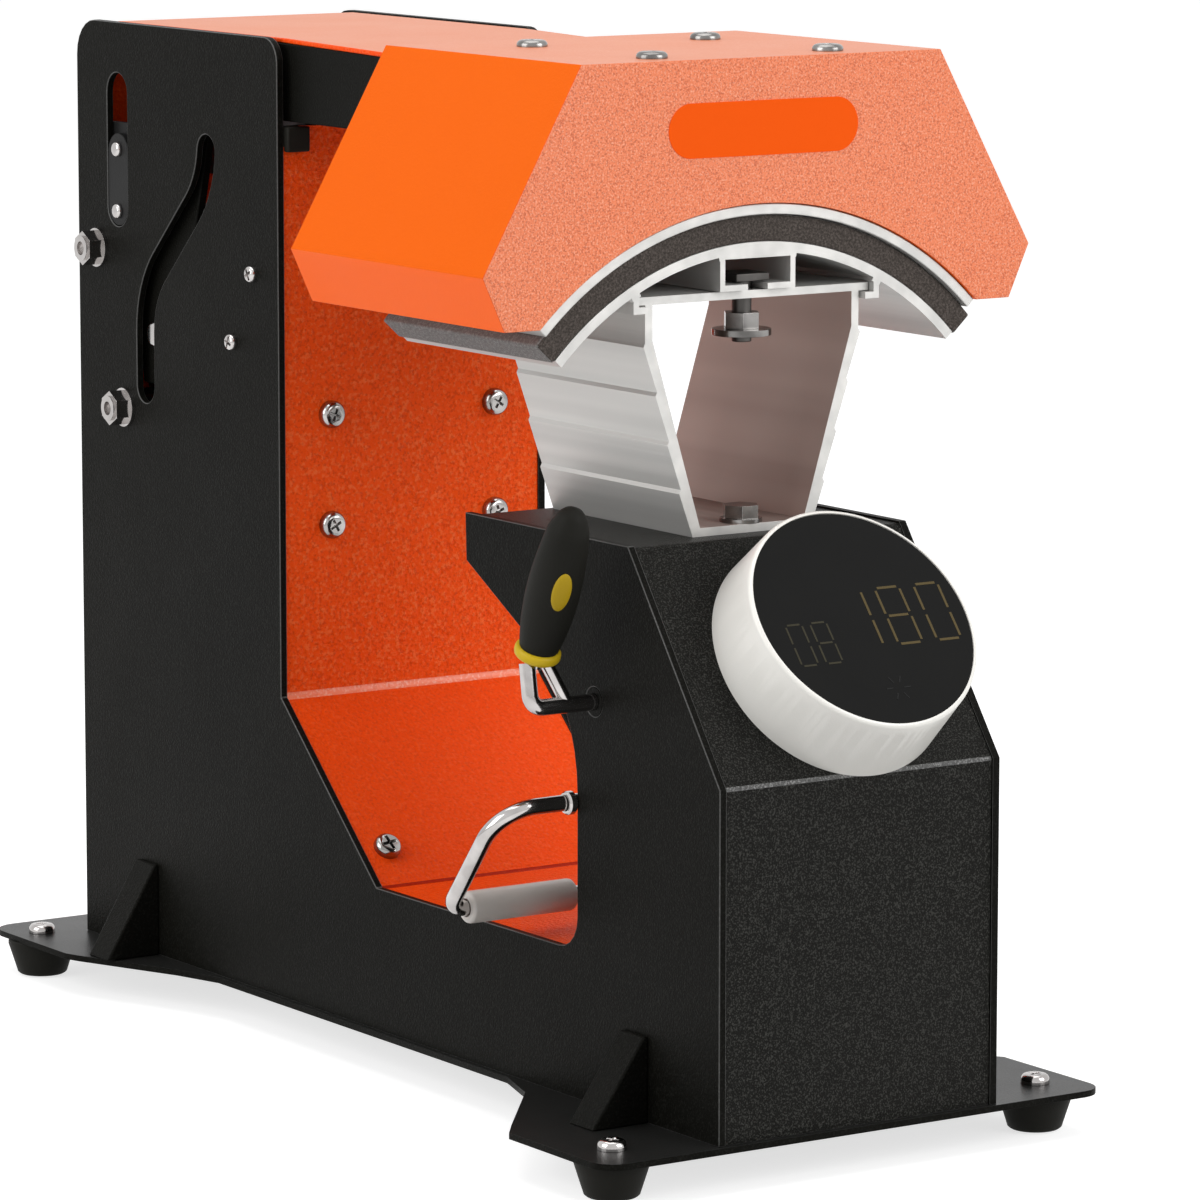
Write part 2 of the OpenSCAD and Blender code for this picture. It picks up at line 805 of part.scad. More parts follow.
module switch_rocker() {
  c = [body_l - 3, 72.75];
  color([0.55, 0.05, 0.04])
    translate([0, front_y + c[0], c[1]])
      difference() {
        rotate([90, 0, 90])
          translate([0, 0, -5])
            linear_extrude(10)
              polygon([
                [-3, -2.5], 6 * [cos(-33), sin(-33)], 3.9 * [cos(11), sin(11)],
                6 * [cos(55), sin(55)], [-3, 2.5]]);
        translate([-10, 0, 0])
          rotate([0, 90, 0])
            cylinder(h = 20, d = 1.7);
      }
}

// Round controller on the sloping face
module puck_frame() {
  translate([puck_x, front_y + puck_u, puck_z])
    rotate([face_angle, 0, 0])
      children();
}
module controller_housing() {
  color([0.93, 0.92, 0.9])
    difference() {
      puck_frame()
        rotate_extrude($fn = 96)
          polygon(concat(
            [[6, -puck_sink], [puck_d / 2, -puck_sink]],
            arc([puck_reach[1], puck_reach[0]], puck_edge, 5, 90, 4),
            [[glass_d / 2 + 0.1, puck_h], [glass_d / 2 + 0.1, puck_h - 2.2]],
            [[glass_d / 2 - 1.4, puck_h - 2.2], [glass_d / 2 - 1.4, 4.6], [6, 4.6]]));
      translate([puck_x, front_y + puck_u, puck_z])
        rotate([slope_angle, 0, 0])
          translate([-puck_d, -puck_d, -20])
            cube([2 * puck_d, 2 * puck_d, 20]);
    }
}
module display_glass() {
  color([0.03, 0.03, 0.03])
    puck_frame()
      translate([0, 0, puck_h - 2.2])
        cylinder(h = 1.9, d = glass_d, $fn = 96);
}
module controller_board() {
  color([0.1, 0.35, 0.15])
    puck_frame() {
      translate([0, 0, puck_h - 9])
        cylinder(h = 1.6, d = glass_d - 3);
      for (a = [45:90:315])
        rotate([0, 0, a])
          translate([26, 0, 4.6])
            cylinder(h = puck_h - 13.6, d = 5);
    }
}

// Stand that carries the platen
module stand_outline() {
  steps = 4;
  rise = 245.5 - seat_z;
  out = stand_head_w - stand_foot_w;
  wall = concat(
    [[stand_foot_w, seat_z]],
    [for (i = [0:steps - 1]) each [
      [stand_foot_w + out * (i + 0.92) / steps + 0.9, seat_z + rise * (i + 0.9) / steps],
      [stand_foot_w + out * (i + 1) / steps, seat_z + rise * (i + 0.98) / steps]]],
    [[stand_head_w, stand_top - rail_t], [rail_w, stand_top - rail_t], [rail_w, stand_top]]);
  polygon(concat(wall, [for (i = [len(wall) - 1:-1:0]) [-wall[i][0], wall[i][1]]]));
}
module platen_stand() {
  foot = stand_foot_w - stand_t / cos(16);
  top = stand_head_w - stand_t;
  color(alu)
    difference() {
      along_y(stand_front, stand_front + stand_l)
        difference() {
          stand_outline();
          polygon([
            [-foot, seat_z + stand_t], [foot, seat_z + stand_t], [top, 246],
            [top, stand_top - rail_t], [-top, stand_top - rail_t], [-top, 246]]);
        }
      for (u = [clamp_y, clamp_y + 50])
        rod_z(0, u, seat_z - 1, seat_z + 9, 6.4);
      rod_z(0, clamp_y, stand_top - 9, stand_top + 1, 6.6);
    }
}
module stand_bolts() {
  color(steel)
    for (u = [clamp_y, clamp_y + 50])
      translate([0, front_y + u, 0]) {
        translate([0, 0, seat_z + stand_t])
          difference() {
            cylinder(h = 1.2, d = 13);
            translate([0, 0, -1])
              cylinder(h = 4, d = 6);
          }
        translate([0, 0, seat_z + stand_t + 1.2])
          cylinder(h = 4, d = 10 / cos(30), $fn = 6);
        translate([0, 0, seat_z - 10])
          cylinder(h = 11.2 + stand_t, d = 6);
        translate([0, 0, seat_z - sheet_t - 5])
          hex_nut(10, 5, 6);
      }
}
module clamp_bolt() {
  color(steel)
    translate([0, front_y + clamp_y, 0]) {
      translate([-6, -6, stand_top + press_gap + 2.3])
        cube([12, 12, 2.4]);
      translate([0, 0, 243])
        cylinder(h = stand_top + press_gap + 2.4 - 243, d = 6);
    }
}
module clamp_nut() {
  color(steel)
    translate([0, front_y + clamp_y, 0]) {
      translate([0, 0, 247])
        hex_nut(10, 5, 6);
      translate([0, 0, 245])
        difference() {
          cylinder(h = 2, d = 18);
          translate([0, 0, -1])
            cylinder(h = 4, d = 6);
        }
    }
}

// Slider in the upright slots, with the arm's pivot shaft
module slider_blocks() {
  color([0.09, 0.09, 0.09])
    both_sides()
      difference() {
        union() {
          along_x(iw - side_gap, hw - 0.3)
            translate([0, slider_low - slot_low - 0.1])
              upright_slot(slider_w, slider_len + 0.2 - 2 * 0.1);
          along_x(flange_x0, flange_x1)
            translate([slot_y - 10, slider_low - 1.5])
              square([19, slider_len + 5]);
        }
        for (z = [pivot_z, pin_low])
          rod_x(0, hw + 1, [slot_y, z], 4);
      }
}
module slider_screws() {
  color(steel)
    both_sides() {
      translate([hw - 0.3, front_y + slot_y, pivot_z])
        rotate([0, 90, 0])
          pan_screw(5, 1.6, 4, hw - 0.3 - flange_x0 + 8);
      translate([hw - 0.3, front_y + slot_y, pin_low])
        rotate([0, 90, 0])
          pan_screw(5, 1.6, 4, hw - 0.3 - flange_x0);
    }
}
module pivot_shaft() {
  color(steel)
    difference() {
      rod_x(-flange_x0, flange_x0, [slot_y, pivot_z], pivot_d);
      both_sides()
        rod_x(flange_x0 - 8, flange_x0 + 1, [slot_y, pivot_z], 4);
    }
}
module spring_saddles() {
  color([0.3, 0.3, 0.32])
    for (x = [-spring_x, spring_x])
      difference() {
        union() {
          block(x - 8, x + 8, slot_y - 8, slot_y + 8, saddle_low, pivot_z + 8);
          rod_z(x, slot_y, saddle_low - 7, saddle_low + 1, 8);
        }
        rod_x(x - 9, x + 9, [slot_y, pivot_z], pivot_d);
      }
}

// Swing arm
function arm_points() = concat(
  [[head_front + 8, arm_low], [cam_y - 36, arm_low], [cam_y - 10, armature_z], [cam_y + 10, armature_z]],
  arc([slot_y, pivot_z], pivot_d / 2 + 4.5, -60, 130, 8),
  [[slot_y - 32, arm_top], [column_front + 3, arm_top]],
  [[head_rear, arm_head], [head_front + 8, arm_head]]);
module arm_plate() {
  along_x(arm_x0, arm_x1)
    difference() {
      polygon(arm_points());
      translate([slot_y, pivot_z])
        circle(d = pivot_d + 2 * run_gap);
      translate([cam_y, cam_z])
        circle(d = cam_d);
    }
}
module right_arm_plate() {
  color(black)
    arm_plate();
}
module left_arm_plate() {
  color(black)
    mirror([1, 0, 0])
      arm_plate();
}
module arm_cover() {
  rear = arm_rear + 2;
  line = concat(
    [[head_rear + 0.4, arm_head + sheet_t], [column_front + 3, arm_top + sheet_t]],
    arc([rear - 9.5, arm_top + sheet_t - 11], 11, 90, 0, 6),
    [[rear + 1.5, pivot_z + 2]]);
  color(orange)
    along_x(-arm_x1, arm_x1)
      polygon(folded(line, sheet_t));
}
module cam_shaft() {
  color(steel) {
    rod_x(-arm_x1 - 0.6, arm_x1 + 0.6, [cam_y, cam_z], cam_d);
    both_sides()
      translate([arm_x1 + 0.6, front_y + cam_y, cam_z])
        rotate([0, 90, 0])
          cylinder(h = iw - side_gap - arm_x1 - 0.6, d1 = cam_d + 1.4, d2 = cam_d - 0.6);
  }
}
module armature() {
  color([0.5, 0.5, 0.52])
    block(-arm_x0, arm_x0, magnet_y - 16, magnet_y + 26, armature_z, armature_z + 5);
}

// Heated head
module head_hex(t) {
  up = (head_top - head_mid) / (head_mid_w - head_top_w);
  c = sqrt(1 + 1 / (up * up));
  polygon([
    [head_low_w - t * 1.1, head_low + t], [head_mid_w - t, head_mid],
    [head_top_w - t * (c - 1 / up), head_top - t],
    [-head_top_w + t * (c - 1 / up), head_top - t], [-head_mid_w + t, head_mid],
    [-head_low_w + t * 1.1, head_low + t]]);
}
module head_housing() {
  color([0.96, 0.42, 0.22])
    difference() {
      along_y(head_front, head_rear)
        head_hex(0);
      along_y(head_front + shell_t, head_rear - shell_t)
        head_hex(shell_t);
      along_y(head_front - 1, head_rear + 1)
        translate([0, curve_z])
          circle(r = curve_r + heater_t + 0.2, $fn = 180);
      block(-arm_x1 - 0.3, arm_x1 + 0.3, head_rear - 5, head_rear + 5,
        arm_low - 0.5, arm_head + sheet_t + 0.3);
      for (x = [-hanger_x, hanger_x], u = hanger_y)
        rod_z(x, u, head_top - 5, head_top + 5, 6);
    }
}
module head_hanger() {
  color(steel)
    difference() {
      block(-arm_x1, arm_x1, head_front + 8, head_rear - 4, arm_head, head_top - shell_t);
      for (x = [-hanger_x, hanger_x], u = hanger_y)
        rod_z(x, u, arm_head - 5, head_top + 5, 5);
    }
}
module head_screws() {
  color(steel)
    for (x = [-hanger_x, hanger_x], u = hanger_y)
      translate([x, front_y + u, head_top])
        pan_screw(9.5, 3, 5, head_top - arm_head);
}
module arc_band(r0, r1, half) {
  polygon(concat(
    arc([0, curve_z], r1, 90 - half, 90 + half, 40),
    arc([0, curve_z], r0, 90 + half, 90 - half, 40)));
}
module heater_platen() {
  half = acos((head_low - curve_z) / (curve_r + heater_t));
  color([0.88, 0.88, 0.88])
    along_y(head_front + 0.9, head_rear - 0.9)
      arc_band(curve_r, curve_r + heater_t, half);
}
module insulation() {
  color([0.85, 0.83, 0.76])
    along_y(head_front + 4, head_rear - 4)
      arc_band(curve_r + heater_t + 0.3, curve_r + heater_t + 7, 38);
}

// Lower platen with its pad, sliding on the stand's rails
module silicone_pad() {
  r = curve_r - press_gap;
  color([0.28, 0.28, 0.28])
    along_y(platen_front, platen_front + platen_l)
      arc_band(r - pad_t, r, platen_angle);
}
module platen_arc() {
  r = curve_r - press_gap - pad_t - 0.05;
  lip = rail_w + press_gap;
  z0 = stand_top - rail_t - press_gap;
  z1 = channel_z + channel_h;
  crown = curve_z + r - arc_t + 1;
  hang = curve_z + sqrt(pow(r - arc_t / 2, 2) - pow(lip + 1, 2));
  color(alu)
    along_y(platen_front, platen_front + platen_l) {
      arc_band(r - arc_t, r, platen_angle - 0.6);
      difference() {
        polygon([
          [-channel_w, channel_z], [channel_w, channel_z],
          [channel_w, crown], [-channel_w, crown]]);
        polygon([
          [-channel_w + 1.8, channel_z + 1.8], [channel_w - 1.8, channel_z + 1.8],
          [channel_w - 1.8, z1], [-channel_w + 1.8, z1]]);
        polygon([[-3.6, channel_z - 1], [3.6, channel_z - 1], [3.6, channel_z + 3],
          [-3.6, channel_z + 3]]);
      }
      for (s = [-1, 1])
        scale([s, 1])
          polygon([
            [lip, hang], [lip, z0], [stand_head_w + 0.7, z0], [stand_head_w + 0.7, z0 - 2],
            [lip + 2, z0 - 2], [lip + 2, hang]]);
    }
}

// Tension lever beside the pedestal
module lever_bushes() {
  color([0.7, 0.6, 0.3])
    both_sides()
      difference() {
        union() {
          rod_x(iw - 0.1, hw, [lever_y, lever_z], wire_d + 4);
          rod_x(iw - 1.5, iw, [lever_y, lever_z], wire_d + 7);
        }
        rod_x(iw - 3, hw + 1, [lever_y, lever_z], wire_d + 2 * run_gap);
      }
}
grip_dir = [-sin(grip_tilt), cos(grip_tilt)];
grip_start = [lever_y + 2.4, lever_z + grip_foot];
module lever_frame() {
  translate([-lever_x + 3.5, front_y + grip_start[0], grip_start[1]])
    rotate([grip_tilt, 0, 0])
      children();
}
module lever_rod() {
  up = norm([grip_start[0] - lever_y, grip_foot]);
  color(steel) {
    translate([0, front_y + lever_y, lever_z])
      rotate([-atan2(grip_start[0] - lever_y, grip_foot), 0, 0]) {
        wire([[hw - 0.5, 0, 0], [-lever_x, 0, 0], [-lever_x, 0, up - 1.6]], wire_d, [4]);
        translate([-lever_x + 13, 0, 0])
          rotate([0, -26, 0])
            cylinder(h = up - 0.8, d = wire_d - 1, $fn = 32);
      }
    lever_frame()
      translate([0, 0, -3])
        cylinder(h = grip_l - 9, d = 5);
  }
}
module grip_collar() {
  color([0.85, 0.68, 0.1])
    lever_frame()
      difference() {
        translate([0, 0, 0.1])
          cylinder(h = 4.4, d = 14.8);
        translate([0, 0, -1])
          cylinder(h = 9, d = 5);
      }
}
module lever_grip() {
  r = grip_d / 2;
  profile = [for (i = [0:16]) let (t = i / 16)
    [r * (0.62 + 0.38 * sin(180 * pow(t, 0.8) - 20)) * sqrt(max(0.02, 1 - pow(t, 7))), 4.5 + (grip_l - 4.5) * t]];
  color([0.08, 0.08, 0.08])
    lever_frame()
      difference() {
        rotate_extrude()
          polygon(concat([[0, 4.5]], profile, [[0, grip_l]]));
        translate([0, 0, -1])
          cylinder(h = grip_l - 11, d = 5);
      }
}
crank_dir = [cos(crank_angle), sin(crank_angle)];
module crank(at, pin) {
  hub = wire_d + 5;
  tip = at + crank_l * crank_dir;
  difference() {
    union() {
      rod_x(-2.5, 2.5, at, hub);
      along_x(-2, 2)
        polygon([
          at + hub / 2 * [-crank_dir[1], crank_dir[0]], at - hub / 2 * [-crank_dir[1], crank_dir[0]],
          tip - 3.4 * [-crank_dir[1], crank_dir[0]], tip + 3.4 * [-crank_dir[1], crank_dir[0]]]);
      rod_x(-2, 2, tip, 6.8);
      rod_x(1.9, 6.6, tip, pin);
    }
    rod_x(-3, 3, at, wire_d);
  }
}
module lever_crank() {
  color(steel)
    crank([lever_y, lever_z], 4);
}
module bail_crank() {
  color(steel)
    crank([bail_y, bail_z], 3.4);
}
module tension_link() {
  a = [lever_y, lever_z] + crank_l * crank_dir;
  b = [bail_y, bail_z] + crank_l * crank_dir;
  side = 3.6 * right_of(a, b);
  color(steel)
    difference() {
      union() {
        along_x(2.3, 5.3)
          polygon([a + side, b + side, b - side, a - side]);
        rod_x(2.3, 5.3, a, 7.2);
        rod_x(2.3, 5.3, b, 7.2);
      }
      rod_x(2, 6, a, 4 + 2 * run_gap);
      rod_x(2, 6, b, 4.4);
    }
}

// Wire bail with its rollers
module bail_bearings() {
  color(steel)
    for (x = [-34, 34])
      difference() {
        union() {
          rod_x(x - 4, x + 4, [bail_y, bail_z], bearing_d);
          block(x - 4, x + 4, pedestal_rear, bail_y, bail_z - 4.5, bail_z + 4.5);
        }
        rod_x(x - 5, x + 5, [bail_y, bail_z], wire_d + 2 * run_gap);
      }
}
module bail_rod() {
  reach = [bar_y - bail_y, bar_z - bail_z];
  l = norm(reach);
  color(steel)
    translate([0, front_y + bail_y, bail_z])
      rotate([atan2(reach[1], reach[0]), 0, 0])
        wire([
          [0.4, 0, 0], [-bail_x, 0, 0], [-bail_x, l, 0],
          [bail_x, l, 0], [bail_x, 0, 0], [0, 0, 0]],
          wire_d, [bail_bend, bar_bend, bar_bend, bail_bend]);
}
module roller(side) {
  x1 = bail_x - bar_bend - 0.3;
  translate([side > 0 ? x1 - roller_l : -x1, front_y + bar_y, bar_z])
    rotate([0, 90, 0])
      difference() {
        cylinder(h = roller_l, d = roller_d);
        translate([0, 0, -1])
          cylinder(h = roller_l + 2, d = wire_d + 2 * run_gap);
      }
}
module left_roller() {
  color([0.85, 0.83, 0.8])
    roller(-1);
}
module right_roller() {
  color([0.85, 0.83, 0.8])
    roller(1);
}

base_plate();
rubber_feet();
foot_screws();
gussets();
left_side_plate();
right_side_plate();
throat_liner();
arm_stops();
front_cover();
pedestal_back();
rear_cover();
liner_screws();
cable_clip();
side_screws();
side_bolts();
tie_rods();
spring_shelf();
lift_springs();
magnet_bracket();
electromagnet();
closing_switch();
control_board();
board_standoffs();
power_inlet();
switch_housing();
switch_rocker();
controller_housing();
display_glass();
controller_board();
platen_stand();
stand_bolts();
clamp_bolt();
clamp_nut();
lever_bushes();
bail_bearings();
slider_blocks();
slider_screws();
pivot_shaft();
spring_saddles();
left_arm_plate();
right_arm_plate();
arm_cover();
cam_shaft();
armature();
head_housing();
head_hanger();
heater_platen();
insulation();
head_screws();
platen_arc();
silicone_pad();
lever_rod();
lever_grip();
grip_collar();
lever_crank();
tension_link();
bail_rod();
bail_crank();
left_roller();
right_roller();
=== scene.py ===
import json
import math
import bpy
import bmesh
from mathutils import Matrix, Vector
from mathutils.bvhtree import BVHTree

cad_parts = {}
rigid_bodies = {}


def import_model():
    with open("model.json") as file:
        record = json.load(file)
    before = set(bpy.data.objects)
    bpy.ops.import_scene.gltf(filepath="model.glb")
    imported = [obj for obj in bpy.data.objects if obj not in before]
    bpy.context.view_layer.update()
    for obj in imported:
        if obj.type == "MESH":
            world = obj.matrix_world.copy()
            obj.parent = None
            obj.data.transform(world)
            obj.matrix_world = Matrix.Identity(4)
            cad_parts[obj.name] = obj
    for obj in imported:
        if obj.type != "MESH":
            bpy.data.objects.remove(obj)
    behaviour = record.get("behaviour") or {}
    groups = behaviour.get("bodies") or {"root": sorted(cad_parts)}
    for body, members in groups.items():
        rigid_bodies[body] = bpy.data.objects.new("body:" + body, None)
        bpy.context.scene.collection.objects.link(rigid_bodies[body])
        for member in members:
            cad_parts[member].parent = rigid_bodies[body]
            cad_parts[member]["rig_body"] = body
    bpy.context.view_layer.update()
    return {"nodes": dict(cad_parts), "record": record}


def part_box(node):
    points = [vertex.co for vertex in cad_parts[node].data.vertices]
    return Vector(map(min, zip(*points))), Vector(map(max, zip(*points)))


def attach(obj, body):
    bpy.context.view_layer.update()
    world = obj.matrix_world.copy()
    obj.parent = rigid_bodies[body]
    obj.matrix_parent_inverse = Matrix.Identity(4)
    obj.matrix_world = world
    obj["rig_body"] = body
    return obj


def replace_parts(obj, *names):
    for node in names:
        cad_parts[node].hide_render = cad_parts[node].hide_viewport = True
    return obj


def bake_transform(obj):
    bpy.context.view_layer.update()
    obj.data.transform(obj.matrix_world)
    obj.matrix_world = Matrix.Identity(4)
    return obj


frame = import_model()
print("frame loaded")


# Node groups that the finishes share

def newGroup(name, inputs, outputs):
    group = bpy.data.node_groups.new(name, "ShaderNodeTree")
    for label, kind, value in inputs:
        socket = group.interface.new_socket(name=label, in_out="INPUT", socket_type=kind)
        if value is not None:
            socket.default_value = value
    for label, kind in outputs:
        group.interface.new_socket(name=label, in_out="OUTPUT", socket_type=kind)
    return group, group.nodes.new("NodeGroupInput"), group.nodes.new("NodeGroupOutput")


def mathNode(tree, operation, a, b, clamp=False):
    node = tree.nodes.new("ShaderNodeMath")
    node.operation = operation
    node.use_clamp = clamp
    for socket, value in ((node.inputs[0], a), (node.inputs[1], b)):
        if isinstance(value, (int, float)):
            socket.default_value = value
        else:
            tree.links.new(value, socket)
    return node.outputs[0]


def noiseNode(tree, vector, scale, detail=2.0, rough=0.5):
    node = tree.nodes.new("ShaderNodeTexNoise")
    node.inputs["Detail"].default_value = detail
    node.inputs["Roughness"].default_value = rough
    tree.links.new(vector, node.inputs["Vector"])
    if isinstance(scale, (int, float)):
        node.inputs["Scale"].default_value = scale
    else:
        tree.links.new(scale, node.inputs["Scale"])
    return node.outputs[0]


def rangeNode(tree, value, low, high):
    node = tree.nodes.new("ShaderNodeMapRange")
    node.inputs["From Min"].default_value = low
    node.inputs["From Max"].default_value = high
    tree.links.new(value, node.inputs["Value"])
    return node.outputs["Result"]


peelSettings = {
    "pebbleNoise": (1.5, 0.45), "gritRatio": 3.1, "gritNoise": (2.0, 0.6), "crestGlintRange": (0.5, 0.7),
    "pitRatio": 1.3, "pitNoise": (1.0, 0.5), "pitRange": (0.5, 0.28), "driftScale": 9.0,
}


def buildPowderGroup(s=peelSettings):
    # orange peel of a powder coat: soft pebbles with finer grit, a painted highlight on the
    # pebbles' crests, and dark pits
    group, start, end = newGroup(
        "powderPeel",
        [("Vector", "NodeSocketVector", None), ("Scale", "NodeSocketFloat", 900.0),
         ("Grit", "NodeSocketFloat", 0.3)],
        [("Height", "NodeSocketFloat"), ("CrestGlint", "NodeSocketFloat"), ("Pit", "NodeSocketFloat"),
         ("Drift", "NodeSocketFloat")])
    vector = start.outputs["Vector"]
    pebble = noiseNode(group, vector, start.outputs["Scale"], *s["pebbleNoise"])
    fineScale = mathNode(group, "MULTIPLY", start.outputs["Scale"], s["gritRatio"])
    grit = noiseNode(group, vector, fineScale, *s["gritNoise"])
    height = mathNode(group, "MULTIPLY_ADD", grit, start.outputs["Grit"])
    group.links.new(pebble, height.node.inputs[2])
    group.links.new(height, end.inputs["Height"])
    group.links.new(rangeNode(group, pebble, *s["crestGlintRange"]), end.inputs["CrestGlint"])
    pitScale = mathNode(group, "MULTIPLY", start.outputs["Scale"], s["pitRatio"])
    pit = noiseNode(group, vector, pitScale, *s["pitNoise"])
    group.links.new(rangeNode(group, pit, *s["pitRange"]), end.inputs["Pit"])
    group.links.new(noiseNode(group, vector, s["driftScale"]), end.inputs["Drift"])
    return group


smudgeSettings = {"scale": 22.0, "noise": (4.0, 0.6), "middle": 0.5}


def buildSmudgeGroup(s=smudgeSettings):
    # roughness that wanders, as on handled and wiped surfaces
    group, start, end = newGroup(
        "smudge",
        [("Vector", "NodeSocketVector", None), ("Base", "NodeSocketFloat", 0.4),
         ("Spread", "NodeSocketFloat", 0.2)],
        [("Roughness", "NodeSocketFloat")])
    broad = noiseNode(group, start.outputs["Vector"], s["scale"], *s["noise"])
    centred = mathNode(group, "SUBTRACT", broad, s["middle"])
    spread = mathNode(group, "MULTIPLY", centred, start.outputs["Spread"])
    total = mathNode(group, "ADD", spread, start.outputs["Base"], clamp=True)
    group.links.new(total, end.inputs["Roughness"])
    return group


drawnSettings = {
    "stretch": (1.0, 0.02, 1.0), "lineNoise": (3.0, 0.6), "bandScale": 110.0,
    "tintRange": (0.35, 0.65),
}


def buildDrawnGroup(s=drawnSettings):
    # die lines of drawn or extruded metal, long along one axis
    group, start, end = newGroup(
        "drawnLines",
        [("Vector", "NodeSocketVector", None), ("Stretch", "NodeSocketVector", s["stretch"]),
         ("Scale", "NodeSocketFloat", 900.0)],
        [("Height", "NodeSocketFloat"), ("Tint", "NodeSocketFloat")])
    stretch = group.nodes.new("ShaderNodeVectorMath")
    stretch.operation = "MULTIPLY"
    group.links.new(start.outputs["Vector"], stretch.inputs[0])
    group.links.new(start.outputs["Stretch"], stretch.inputs[1])
    lines = noiseNode(group, stretch.outputs[0], start.outputs["Scale"], *s["lineNoise"])
    bands = noiseNode(group, stretch.outputs[0], s["bandScale"])
    group.links.new(lines, end.inputs["Height"])
    group.links.new(rangeNode(group, bands, *s["tintRange"]), end.inputs["Tint"])
    return group


spongeSettings = {"speckRatio": 0.9, "speckNoise": (2.0, 0.7), "speckRange": (0.42, 0.72)}


def buildSpongeGroup(s=spongeSettings):
    # closed cells of silicone sponge with pale specks of dust
    group, start, end = newGroup(
        "spongeCells",
        [("Vector", "NodeSocketVector", None), ("Scale", "NodeSocketFloat", 1400.0)],
        [("Height", "NodeSocketFloat"), ("Speck", "NodeSocketFloat")])
    cells = group.nodes.new("ShaderNodeTexVoronoi")
    group.links.new(start.outputs["Vector"], cells.inputs["Vector"])
    group.links.new(start.outputs["Scale"], cells.inputs["Scale"])
    group.links.new(cells.outputs["Distance"], end.inputs["Height"])
    speckScale = mathNode(group, "MULTIPLY", start.outputs["Scale"], s["speckRatio"])
    speck = noiseNode(group, start.outputs["Vector"], speckScale, *s["speckNoise"])
    group.links.new(rangeNode(group, speck, *s["speckRange"]), end.inputs["Speck"])
    return group


powderGroup = buildPowderGroup()
smudgeGroup = buildSmudgeGroup()
drawnGroup = buildDrawnGroup()
spongeGroup = buildSpongeGroup()
print("node groups built")


# Finishes

shaderSockets = {
    "metallic": ("Metallic", 0.0), "specular": ("Specular IOR Level", 0.5),
    "coat": ("Coat Weight", 0.0), "coatRough": ("Coat Roughness", 0.1),
    "transmission": ("Transmission Weight", 0.0),
}


def groupNode(tree, group, coord, values):
    node = tree.nodes.new("ShaderNodeGroup")
    node.node_tree = group
    tree.links.new(coord, node.inputs["Vector"])
    for label, value in values.items():
        node.inputs[label].default_value = value
    return node


def startMaterial(name, settings):
    material = bpy.data.materials.new(name)
    material.use_nodes = True
    tree = material.node_tree
    shader = tree.nodes["Principled BSDF"]
    for key, (socket, plain) in shaderSockets.items():
        shader.inputs[socket].default_value = settings.get(key, plain)
    coord = tree.nodes.new("ShaderNodeTexCoord").outputs["Object"]
    rough = groupNode(tree, smudgeGroup, coord, {
        "Base": settings["rough"], "Spread": settings.get("spread", 0.15)})
    tree.links.new(rough.outputs["Roughness"], shader.inputs["Roughness"])
    return material, tree, shader, coord


def blendColours(tree, factor, a, b):
    mix = tree.nodes.new("ShaderNodeMix")
    mix.data_type = "RGBA"
    tree.links.new(factor, mix.inputs[0])
    for socket, value in ((mix.inputs[6], a), (mix.inputs[7], b)):
        if hasattr(value, "is_output"):
            tree.links.new(value, socket)
        else:
            socket.default_value = (*value, 1.0)
    return mix.outputs[2]


def bumpInto(tree, shader, height, distance):
    bump = tree.nodes.new("ShaderNodeBump")
    bump.inputs["Distance"].default_value = distance
    bump.inputs["Strength"].default_value = 1.0
    tree.links.new(height, bump.inputs["Height"])
    tree.links.new(bump.outputs["Normal"], shader.inputs["Normal"])


def powderMaterial(name, settings):
    material, tree, shader, coord = startMaterial(name, settings)
    peel = groupNode(tree, powderGroup, coord, {
        "Scale": settings["scale"], "Grit": settings.get("grit", 0.3)})
    base = blendColours(tree, peel.outputs["Drift"], settings["colour"], settings["shade"])
    # the pebbles' crests are lightened towards the light colour: a painted highlight
    crestGlint = mathNode(tree, "MULTIPLY", peel.outputs["CrestGlint"], settings["crestGlint"])
    colour = blendColours(tree, crestGlint, base, settings["light"])
    if "pit" in settings:
        pit = mathNode(tree, "MULTIPLY", peel.outputs["Pit"], settings["pit"])
        colour = blendColours(tree, pit, colour, settings["dark"])
    tree.links.new(colour, shader.inputs["Base Color"])
    bumpInto(tree, shader, peel.outputs["Height"], settings["depth"])
    return material


def metalMaterial(name, settings):
    material, tree, shader, coord = startMaterial(name, {"metallic": 1.0, **settings})
    drawn = groupNode(tree, drawnGroup, coord, {
        "Scale": settings.get("scale", 900.0),
        "Stretch": settings.get("stretch", (1.0, 1.0, 1.0))})
    tint = blendColours(tree, drawn.outputs["Tint"], settings["colour"], settings["shade"])
    tree.links.new(tint, shader.inputs["Base Color"])
    bumpInto(tree, shader, drawn.outputs["Height"], settings["depth"])
    return material


def plainMaterial(name, settings):
    material, tree, shader, coord = startMaterial(name, settings)
    mottle = noiseNode(tree, coord, settings.get("mottle", 60.0), 3.0, 0.5)
    colour = blendColours(tree, mottle, settings["colour"], settings["shade"])
    tree.links.new(colour, shader.inputs["Base Color"])
    bumpInto(tree, shader, noiseNode(tree, coord, settings.get("grain", 1800.0)),
             settings["depth"])
    if "glow" in settings:
        tree.links.new(colour, shader.inputs["Emission Color"])
        shader.inputs["Emission Strength"].default_value = settings["glow"]
    return material


def spongeMaterial(name, settings):
    material, tree, shader, coord = startMaterial(name, settings)
    cells = groupNode(tree, spongeGroup, coord, {"Scale": settings["scale"]})
    colour = blendColours(tree, cells.outputs["Speck"], settings["colour"], settings["light"])
    tree.links.new(colour, shader.inputs["Base Color"])
    bumpInto(tree, shader, cells.outputs["Height"], settings["depth"])
    return material


